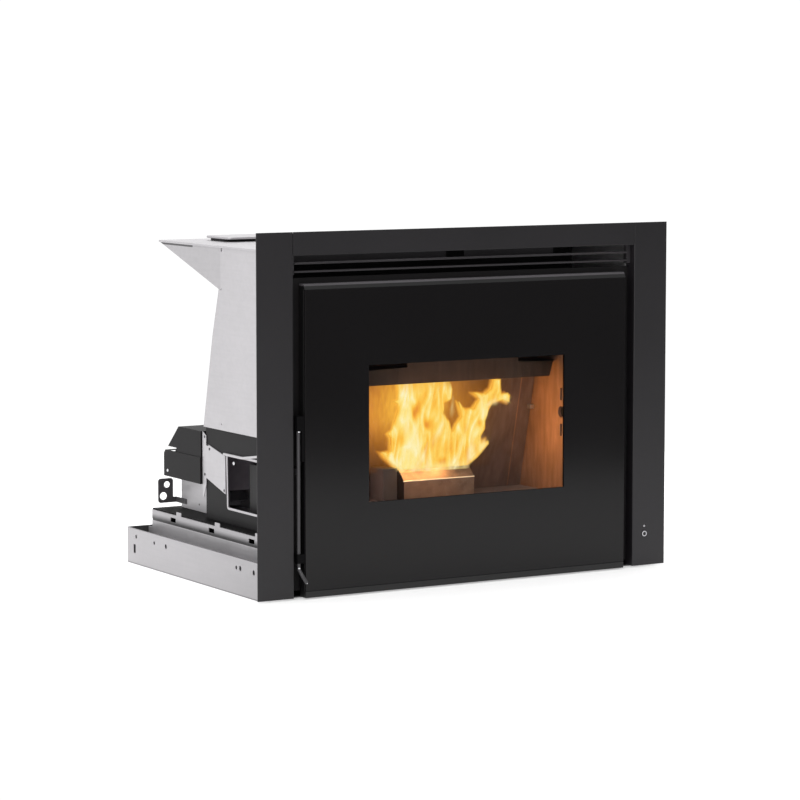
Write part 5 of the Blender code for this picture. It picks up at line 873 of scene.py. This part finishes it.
def body_sheet(across, level):
    """Warmth and thickness of the middle sheet: the fire's whole outline filled with drawn-out streaks."""
    bend = swirls(across, level, *BODY_BEND)
    ripple = swirls(across, level, *BODY_RIPPLE)
    climb = smooth(level, 0.186, 0.235)
    moved_x = across + climb * (0.0030 * bend[:, 0] + 0.0016 * ripple[:, 0])
    moved_z = level + climb * (0.0040 * bend[:, 1] + 0.0016 * ripple[:, 1])
    depth = depth_inside(moved_x, moved_z, FIRE_OUTLINE)
    drawn = across + 0.016 * bend[:, 2] + 0.05 * (across - POT_CENTRE) * climb
    streak = swirls(drawn, level, *BODY_STREAKS)[:, 0]
    thread = swirls(drawn, level, *BODY_THREADS)[:, 1]
    line = (1 - np.abs(streak)) ** 5
    warmth = 0.56 + 0.24 * line + 0.20 * thread
    for *patch, change in FIRE_PATCHES:
        warmth = warmth + change * patch_share(patch, moved_x, moved_z)
    edge = smooth(depth, -0.0004, 0.0060)
    top = 1 - 0.55 * smooth(level, 0.308, 0.336) * (across < 0.06)
    return np.clip(warmth, 0.20, 1.0) * (0.66 + 0.34 * edge), smooth(depth, -0.0010, 0.0034) * top


def tongue_sheet(across, level):
    """Warmth and thickness of the front sheet: pale cores of tongues and the burning edge over the pot."""
    widening = bpy.context.scene.insert_fire.flame_width
    bend = swirls(across, level, *TONGUE_BEND)
    ripple = swirls(across, level, *TONGUE_RIPPLE)
    climb = smooth(level, 0.185, 0.245)
    moved_x = across + climb * (0.0060 * bend[:, 0] + 0.0026 * ripple[:, 0])
    moved_z = level + climb * (0.0060 * bend[:, 1] + 0.0024 * ripple[:, 1])
    broken = np.clip(0.60 + 0.75 * swirls(across, level, *TONGUE_BREAKS)[:, 0], 0, 1)
    core = np.zeros(len(across))
    for brightness, width, points in TONGUES:
        near, rise = tongue_field(moved_x, moved_z, points, width * widening)
        core = np.maximum(core, near * brightness * (1 - 0.55 * rise) * broken)
    for *patch, change in FIRE_PATCHES:
        if change < 0:
            hole = patch_share(patch, moved_x, moved_z)
            core = core * (1 - np.clip(-1.6 * change * hole, 0, 0.8))
    bed = smooth(1 - np.abs(across - POT_CENTRE) / 0.070, 0, 0.4) * smooth(level, 0.200, 0.186)
    thickness = np.maximum(smooth(core, 0.10, 0.85), 0.7 * bed * np.clip(0.8 + 0.7 * bend[:, 0], 0, 1))
    return 0.74 + 0.30 * core, 0.85 * thickness


FLAME_SHEETS = (glow_sheet, body_sheet, tongue_sheet)


def flame_sheet(layer, depth):
    """One sheet of flame: a grid pulled towards the window where it burns, cut away where it doesn't."""
    low, high = Vector(FLAME_LOW), Vector(FLAME_HIGH)
    columns = int((high.x - low.x) / FLAME_CELL)
    rows = int((high.y - low.y) / FLAME_CELL)
    bm = bmesh.new()
    bmesh.ops.create_grid(bm, x_segments=columns, y_segments=rows, size=0.5)
    flat = np.array([v.co[:2] for v in bm.verts])
    across = low.x + (flat[:, 0] + 0.5) * (high.x - low.x)
    level = low.y + (flat[:, 1] + 0.5) * (high.y - low.y)
    warmth, thickness = FLAME_SHEETS[layer](across, level)
    warmth_layer = bm.verts.layers.float.new("warmth")
    thickness_layer = bm.verts.layers.float.new("thickness")
    bulge = 0.006 * warmth + 0.003 * swirls(across, level, 34, 20, layer)[:, 2]
    for index, vert in enumerate(bm.verts):
        lean = 0.10 * (level[index] - 0.19)
        vert.co = at(across[index], depth - bulge[index] - lean, level[index])
        vert[warmth_layer] = warmth[index]
        vert[thickness_layer] = thickness[index]
    cold = [v for v in bm.verts if v[thickness_layer] < FLAME_FAINTEST]
    bmesh.ops.delete(bm, geom=cold, context="VERTS")
    sheet = settle(f"flame_{layer}", bm, "flame", "insert", crease=180)
    sheet.visible_shadow = False
    top = FLAME_HIGH[1]
    at(0, depth, top)
    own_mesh(sheet)


def pellet(place, axis, length):
    """One short pressed rod, slightly tapered, with flat ends."""
    radius = 0.003
    bm = bmesh.new()
    bmesh.ops.create_cone(bm, cap_ends=True, segments=8, radius1=radius, radius2=radius * 0.96, depth=length)
    turn = Vector((0, 0, 1)).rotation_difference(axis).to_matrix().to_4x4()
    bmesh.ops.transform(bm, matrix=Matrix.Translation(place) @ turn, verts=bm.verts)
    return bm


def burning_pellets(low, high, count, seed):
    """Loose pellets lying in a box of space, as one piece."""
    chance = random.Random(seed)
    parts = []
    for _ in range(count):
        place = Vector([chance.uniform(a, b) for a, b in zip(low, high)])
        axis = Vector([chance.uniform(-tilt, tilt) for tilt in (1, 1, 0.35)]).normalized()
        parts.append(pellet(place, axis, chance.uniform(0.008, 0.014)))
    settle("burning_pellets", joined(parts), "ember", "pot", crease=40)


def colour_setting(name, description, default):
    return bpy.props.FloatVectorProperty(
        name=name, description=description, subtype="COLOR", size=3, min=0, max=1, default=default,
    )


def number_setting(name, description, default, low=0.0, unit="NONE"):
    return bpy.props.FloatProperty(name=name, description=description, unit=unit, min=low, default=default)


class InsertColours(bpy.types.PropertyGroup):
    surround: colour_setting("Surround", "Black stove paint of the surround", (0.0080, 0.0067, 0.0084))
    door: colour_setting("Door", "Black stove paint of the door frame", (0.0076, 0.0070, 0.0077))
    covers: colour_setting("Covers", "Black paint of the covers and brackets", (0.0080, 0.0072, 0.0080))
    inner: colour_setting("Inner parts", "Dark paint behind the front", (0.010, 0.009, 0.0095))
    glass: colour_setting("Glass print", "Black print on the glass", (0.0030, 0.0024, 0.0028))
    zinc: colour_setting("Zinc", "Galvanised body sheet", (0.528, 0.514, 0.530))
    tray: colour_setting("Tray", "Galvanised base tray", (0.445, 0.433, 0.446))
    liner: colour_setting("Liner", "Fired steel round the fire", (0.30, 0.158, 0.098))
    deflector: colour_setting("Deflector", "Plate over the flames", (0.075, 0.040, 0.024))
    pot: colour_setting("Burn pot", "Iron of the burn pot", (0.37, 0.218, 0.140))
    floor: colour_setting("Floor", "Studio floor", (0.78, 0.78, 0.78))


class InsertFire(bpy.types.PropertyGroup):
    flame_strength: number_setting("Flame brightness", "Light given by the flame sheets", 1.14)
    flame_width: number_setting("Flame width", "Width of each tongue against its drawn one", 1.15, 0.2)
    ember_strength: number_setting("Ember brightness", "Light given by the burning pellets", 1.1)
    fire_light: number_setting("Fire light", "Strength of the lights inside the firebox", 1.0)


class InsertSizes(bpy.types.PropertyGroup):
    extra_rounding: number_setting("Extra rounding", "Added to every edge's rounding", 0.0, unit="LENGTH")
    screw_radius: number_setting("Screw radius", "Radius of the body screws' heads", 0.0032, 0.001, "LENGTH")
    floor_reach: number_setting("Floor reach", "Radius of the studio floor", 1.75, 1.0, "LENGTH")


class FIREPLACE_OT_surround(bpy.types.Operator):
    """Surround, air outlet and front plate"""

    bl_idname = "fireplace.surround"
    bl_label = "Surround"

    def execute(self, context):
        soften_all(SOFT_SURROUND)
        low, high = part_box("top_rail")
        laps = []
        for seam in (low.x, high.x):
            front = (seam - 0.006, FACE + 0.0024, low.z + 0.002)
            back = (seam + 0.006, FACE + 0.0036, high.z - 0.003)
            laps.append(block(front, back, 0.0002))
        settle("corner_laps", joined(laps), "inner_black", "insert")
        return {"FINISHED"}


class FIREPLACE_OT_button(bpy.types.Operator):
    """Power button with its light ring, and the signal lamp"""

    bl_idname = "fireplace.button"
    bl_label = "Power button"

    def execute(self, context):
        centre, radius, depth = turned_on("power_button")
        cap = [
            (0.0, 0.0003), (radius * 0.55, 0.0002), (radius * 0.80, 0.0), (radius * 0.95, 0.0002),
            (radius, 0.0008), (radius, depth), (0.0, depth),
        ]
        settle("button_cap", lathe(cap, centre, "Y", 40), "button_black", "button", "power_button")
        inner, outer = radius * 0.60, radius * 0.90
        ring = [(inner, 0.0002), (inner, -0.00015), (outer, -0.00015), (outer, 0.0002), (inner, 0.0002)]
        settle("button_ring", lathe(ring, centre, "Y", 40), "mark_grey", "button")
        centre, radius, depth = turned_on("lamp_lens")
        dome = [
            (0.0, -0.0002), (radius * 0.6, 0.0), (radius * 0.95, 0.0005), (radius, 0.001),
            (radius, depth), (0.0, depth),
        ]
        settle("lamp_dome", lathe(dome, centre, "Y", 24), "lamp_clear", "insert", "lamp_lens")
        return {"FINISHED"}


class FIREPLACE_OT_door(bpy.types.Operator):
    """Door frame, printed glass, rope seal, hinges and latch"""

    bl_idname = "fireplace.door"
    bl_label = "Door"

    def execute(self, context):
        soften_all(SOFT_DOOR)
        return {"FINISHED"}


class FIREPLACE_OT_latch(bpy.types.Operator):
    """Latch rod with its bent finger lever and end screws"""

    bl_idname = "fireplace.latch"
    bl_label = "Latch"

    def execute(self, context):
        softened("latch_rod", "rod_steel", 0.0003)
        rivets = (
            (at(-0.3245, -0.0022, 0.2749), 0.0026),
            (at(-0.3248, -0.0020, 0.0518), 0.0023),
            (at(-0.3175, -0.0128, 0.0290), 0.0024),
        )
        beads = []
        for place, radius in rivets:
            bead = bmesh.new()
            bmesh.ops.create_uvsphere(bead, u_segments=20, v_segments=12, radius=radius)
            bmesh.ops.scale(bead, vec=(1.0, 0.8, 0.8), verts=bead.verts)
            bmesh.ops.translate(bead, vec=place, verts=bead.verts)
            beads.append(bead)
        settle("rod_rivets", joined(beads), "bright_zinc", "latch")
        return {"FINISHED"}


class FIREPLACE_OT_firebox(bpy.types.Operator):
    """Fired liners, deflector, burn pot, seat and ash pan"""

    bl_idname = "fireplace.firebox"
    bl_label = "Firebox"

    def execute(self, context):
        soften_all(SOFT_FIREBOX)
        seam_across, seam_width, seam_foot, seam_height = 0.188, 0.0014, 0.100, 0.318
        seam = bmesh.new()
        bmesh.ops.create_grid(seam, x_segments=1, y_segments=24, size=0.5)
        for vert in seam.verts:
            level = seam_foot + (vert.co.y + 0.5) * seam_height
            vert.co = at(seam_across + vert.co.x * seam_width, back_wall(level) - 0.0010, level)
        made = bmesh.ops.extrude_face_region(seam, geom=seam.faces[:])
        back = [v for v in made["geom"] if isinstance(v, bmesh.types.BMVert)]
        bmesh.ops.translate(seam, vec=(0, 0.0014, 0), verts=back)
        bmesh.ops.recalc_face_normals(seam, faces=seam.faces)
        # The seam's strip carries a painted highlight
        settle("liner_seam", seam, "rubbed_liner", "insert")
        wall = back_wall(0.275)
        tab = block(at(0.2065, wall - 0.012, 0.2715), at(0.2145, wall - 0.0005, 0.2785), 0.0008)
        settle("liner_tab", tab, "bright_zinc", "insert")
        return {"FINISHED"}


class FIREPLACE_OT_fire(bpy.types.Operator):
    """Flame sheets and burning pellets in the pot"""

    bl_idname = "fireplace.fire"
    bl_label = "Fire"

    def execute(self, context):
        noise.seed_set(FLAME_SEED)
        burning_pellets(at(-0.068, 0.112, 0.142), at(0.058, 0.143, 0.168), 260, 5)
        for layer, depth in enumerate(FLAME_DEPTHS):
            flame_sheet(layer, depth)
        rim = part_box("burn_pot")[0].y
        edge_low = (POT_LEFT - 0.0004, rim - 0.0005, 0.1664)
        edge_high = (POT_RIGHT + 0.0004, rim + 0.0014, 0.1681)
        # The lip edge carries a painted highlight: its finish glows though it is no lamp
        settle("pot_lip_edge", block(edge_low, edge_high, 0.0005), "hot_edge", "pot")
        for name, place, target, size, spread, energy, colour in FIRE_LIGHTS:
            power = energy * context.scene.insert_fire.fire_light
            holder = area_light(name, at(*place), at(*target), size[0], power)
            light = holder.data
            light.shape = "RECTANGLE"
            light.size_y = size[1]
            light.spread = math.radians(spread)
            light.color = colour
            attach(holder, "insert")
        return {"FINISHED"}


class FIREPLACE_OT_body(bpy.types.Operator):
    """Galvanised body, hopper, covers and ducts"""

    bl_idname = "fireplace.body"
    bl_label = "Body"

    def execute(self, context):
        soften_all(SOFT_BODY)
        for node, material in PLAIN_NODES:
            coat_node(node, material)
        return {"FINISHED"}


def fan_motor(node, axis):
    """A shaded-pole fan motor: finned can and end bell."""
    low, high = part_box(node)
    along = 0 if axis == "X" else 1
    length = high[along] - low[along]
    radius = (high.z - low.z) / 2
    centre = (low + high) / 2
    centre[along] = low[along]
    fins, first_fin, fin_step = 7, 0.009, 0.0042
    groove = radius * 0.93
    fin = ((groove, 0), (groove, 0.0014), (radius, 0.0018), (radius, 0.0036))
    section = [(0.0, 0.0), (radius * 0.96, 0.0), (radius, 0.0015), (radius, 0.006)]
    for index in range(fins):
        start = first_fin + index * fin_step
        section += [(reach, start + step) for reach, step in fin]
    section += [
        (radius, length * 0.82), (radius * 0.96, length * 0.86), (radius * 0.80, length * 0.90),
        (radius * 0.40, length * 0.92), (radius * 0.38, length * 0.985), (radius * 0.30, length),
        (0.0, length),
    ]
    bm = lathe(section, centre, axis, 48)
    settle(f"{node}_shown", bm, "motor_enamel", BODY_OF[node], node, 30)


class FIREPLACE_OT_drive(bpy.types.Operator):
    """Auger tube and motors, flue spigot and igniter"""

    bl_idname = "fireplace.drive"
    bl_label = "Feed and fans"

    def execute(self, context):
        low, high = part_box("auger_tube")
        length = high.y - low.y
        bore, outside = 0.0207, 0.022
        tube = [(bore, 0.0), (0.0212, 0.0), (outside, 0.0006), (outside, length), (bore, length), (bore, 0.0)]
        bm = lathe(tube, Vector((0, low.y, AUGER_LEVEL)), "Y", 56)
        settle("auger_tube_shown", bm, "sheet_zinc", "insert", "auger_tube")
        self.gear_motor()
        fan_motor("smoke_fan_motor", "Y")
        fan_motor("room_fan_motor", "X")
        centre, _, length = turned_on("flue_spigot")
        spigot = [
            (0.0385, length), (0.0385, 0.0), (0.046, 0.0), (0.046, 0.0016), (0.0455, 0.002), (0.042, 0.002),
            (0.0405, 0.0028), (0.040, 0.004), (0.040, length * 0.55), (0.0408, length * 0.57),
            (0.0412, length * 0.60), (0.0408, length * 0.63), (0.040, length * 0.65),
            (0.0398, length - 0.001), (0.0392, length), (0.0385, length),
        ]
        collar = lathe(spigot, centre, "Y", 64)
        settle("flue_collar", collar, "sheet_zinc", "insert", "flue_spigot")
        ring = [
            centre + Vector((0.0433 * math.cos(a), 0.002, 0.0433 * math.sin(a)))
            for a in (math.radians(30 + 60 * k) for k in range(6))
        ]
        screws("flue_collar_screws", ring, "Y", 0.0018, 0.0011)
        centre, _, length = turned_on("igniter")
        rod = [
            (0.0, 0.0), (0.0045, 0.0), (0.006, 0.0014), (0.006, length * 0.7), (0.0052, length * 0.72),
            (0.0052, length), (0.0, length),
        ]
        settle("igniter_rod", lathe(rod, centre, "Y", 28), "ceramic", "insert", "igniter")
        return {"FINISHED"}

    def gear_motor(self):
        """The auger's motor: a banded gearbox, a round can behind it and four screws."""
        low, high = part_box("auger_motor")
        can_start = low.y + 0.050
        length = high.y - can_start
        can = [
            (0.0, length), (0.008, length), (0.009, length - 0.001), (0.021, length - 0.001),
            (0.0235, length - 0.003), (0.024, length - 0.006), (0.024, 0.004), (0.0228, 0.003),
            (0.0228, 0.0), (0.0, 0.0),
        ]
        gearbox = block(low, (high.x, can_start, high.z), 0.003, 3)
        parts = [gearbox, lathe(can, Vector((0, can_start - 0.001, AUGER_LEVEL)), "Y", 48)]
        proud = 0.0002
        for start in (low.y + 0.014, low.y + 0.030):
            band_low = (low.x - proud, start, low.z - proud)
            parts.append(block(band_low, (high.x + proud, start + 0.0012, high.z + proud), 0.0004))
        settle("gear_motor", joined(parts), "motor_enamel", "insert", "auger_motor")
        out = 0.0235
        corners = [Vector((x, can_start, AUGER_LEVEL + z)) for x in (-out, out) for z in (-out, out)]
        screws("gear_motor_screws", corners, "Y", 0.0026, 0.0016)


# Screws on the left: name, node they stand on, radius, height, finish, (depth below its face, depth, level)
LEFT_SCREWS = (
    ("cover_screw", "fan_cover", 0.0028, 0.0012, "bright_zinc", ((0, 0.4608, 0.1623),)),
    ("housing_screws", "room_fan_housing", 0.0018, 0.0006, "dark_screw", (
        (0, 0.4026, 0.1069), (0.0018, 0.4622, 0.1070),
    )),
    ("service_screw", "left_duct", 0.0030, 0.0014, "bright_zinc", ((0, 0.2225, 0.1995),)),
    ("bracket_screws", "side_bracket", 0.0024, 0.0008, "dark_screw", (
        (0, 0.3260, 0.2345), (0, 0.3260, 0.1700), (0, 0.3085, 0.2150), (0, 0.2548, 0.1500),
    )),
)
# Screws of the right panel, as (depth, level)
PANEL_SCREWS = ((0.045, 0.270), (0.045, 0.400), (0.045, 0.530), (0.150, 0.270), (0.290, 0.270))


class FIREPLACE_OT_fixings(bpy.types.Operator):
    """Small screws on the body, covers and brackets"""

    bl_idname = "fireplace.fixings"
    bl_label = "Fixings"

    def execute(self, context):
        radius = context.scene.insert_sizes.screw_radius * 0.8
        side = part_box("right_panel")[1].x
        places = [Vector((side, depth + FACE, level)) for depth, level in PANEL_SCREWS]
        screws("right_panel_screws", places, "X", radius, 0.0010)
        for name, node, radius, height, material, spots in LEFT_SCREWS:
            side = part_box(node)[0].x
            places = [Vector((side - out, depth + FACE, level)) for out, depth, level in spots]
            screws(name, places, "-X", radius, height, material)
        return {"FINISHED"}


class FIREPLACE_OT_base(bpy.types.Operator):
    """Base tray, slides, carriage rails and floor plate"""

    bl_idname = "fireplace.base"
    bl_label = "Base and slides"

    def execute(self, context):
        soften_all(SOFT_BASE)
        return {"FINISHED"}


class FIREPLACE_OT_studio(bpy.types.Operator):
    """Pale floor, soft studio light and camera"""

    bl_idname = "fireplace.studio"
    bl_label = "Studio"

    def execute(self, context):
        scene = context.scene
        bm = bmesh.new()
        bmesh.ops.create_circle(bm, cap_ends=True, segments=96, radius=scene.insert_sizes.floor_reach)
        mesh = bpy.data.meshes.new("studio_floor")
        bm.to_mesh(mesh)
        bm.free()
        mesh.materials.append(finish("studio_floor"))
        ground = bpy.data.objects.new("studio_floor", mesh)
        scene.collection.objects.link(ground)
        scene.world = self.surroundings()
        middle = (0.0, 0.0, 0.3)
        area_light("key", (-2.6, -2.2, 2.6), middle, 2.2, 42)
        area_light("top", (0.3, 0.4, 3.2), middle, 2.6, 30)
        scene.view_settings.view_transform = "Standard"
        lens = bpy.data.cameras.new("photo_view")
        lens.lens = 139.89
        lens.sensor_width = 36.0
        camera = bpy.data.objects.new("photo_view", lens)
        down, turned = 5.899, 30.645
        camera.location = at(-2.72484, -4.37320, 0.84133)
        camera.rotation_euler = (math.radians(90 - down), 0.0, -math.radians(turned))
        scene.collection.objects.link(camera)
        scene.camera = camera
        return {"FINISHED"}

    def surroundings(self):
        """White light, weaker from the front right, with an even white backdrop for the camera alone."""
        world = bpy.data.worlds.new("studio_light")
        world.use_nodes = True
        sky = Nodes(world.node_tree)
        sky.tree.nodes.remove(sky.tree.nodes["Background"])
        white = (1.0, 1.0, 1.0, 1.0)
        weak_side = Vector((0.52, -0.85, 0.0)).normalized()
        place = sky.node("TexCoord", output="Generated")
        toward = sky.node("VectorMath", {0: place, 1: weak_side}, "Value", operation="DOT_PRODUCT")
        fade = sky.node("MapRange", {0: toward, 1: 0.35, 2: 0.95, 3: 1.08, 4: 0.30})
        room = sky.node("Background", {"Color": white, "Strength": fade})
        backdrop = sky.node("Background", {"Color": white, "Strength": 1.05})
        camera_ray = sky.node("LightPath", output="Is Camera Ray")
        seen = sky.node("MixShader", {0: camera_ray, 1: room, 2: backdrop})
        sky.tree.links.new(seen.socket, sky.tree.nodes["World Output"].inputs["Surface"])
        return world


OPERATORS = (
    FIREPLACE_OT_studio,
    FIREPLACE_OT_surround,
    FIREPLACE_OT_button,
    FIREPLACE_OT_door,
    FIREPLACE_OT_latch,
    FIREPLACE_OT_firebox,
    FIREPLACE_OT_fire,
    FIREPLACE_OT_body,
    FIREPLACE_OT_drive,
    FIREPLACE_OT_fixings,
    FIREPLACE_OT_base,
)


class FIREPLACE_PT_panel(bpy.types.Panel):
    """Sizes, colours and steps of the fireplace insert"""

    bl_idname = "FIREPLACE_PT_panel"
    bl_label = "Pellet fireplace insert"
    bl_space_type = "VIEW_3D"
    bl_region_type = "UI"
    bl_category = "Fireplace"

    def draw(self, context):
        column = self.layout.column()
        for group in (context.scene.insert_sizes, context.scene.insert_fire, context.scene.insert_colours):
            for key in group.bl_rna.properties.keys():
                if key not in {"rna_type", "name"}:
                    column.prop(group, key)
        for operator in OPERATORS:
            column.operator(operator.bl_idname)


CLASSES = (InsertColours, InsertFire, InsertSizes, *OPERATORS, FIREPLACE_PT_panel)


def register():
    for kind in CLASSES:
        bpy.utils.register_class(kind)
    bpy.types.Scene.insert_colours = bpy.props.PointerProperty(type=InsertColours)
    bpy.types.Scene.insert_fire = bpy.props.PointerProperty(type=InsertFire)
    bpy.types.Scene.insert_sizes = bpy.props.PointerProperty(type=InsertSizes)


def unregister():
    for name in ("insert_sizes", "insert_fire", "insert_colours"):
        delattr(bpy.types.Scene, name)
    for kind in reversed(CLASSES):
        bpy.utils.unregister_class(kind)


def main():
    register()
    for operator in OPERATORS:
        step = operator.bl_idname.split(".")[1]
        getattr(bpy.ops.fireplace, step)()


if __name__ == "__main__":
    main()
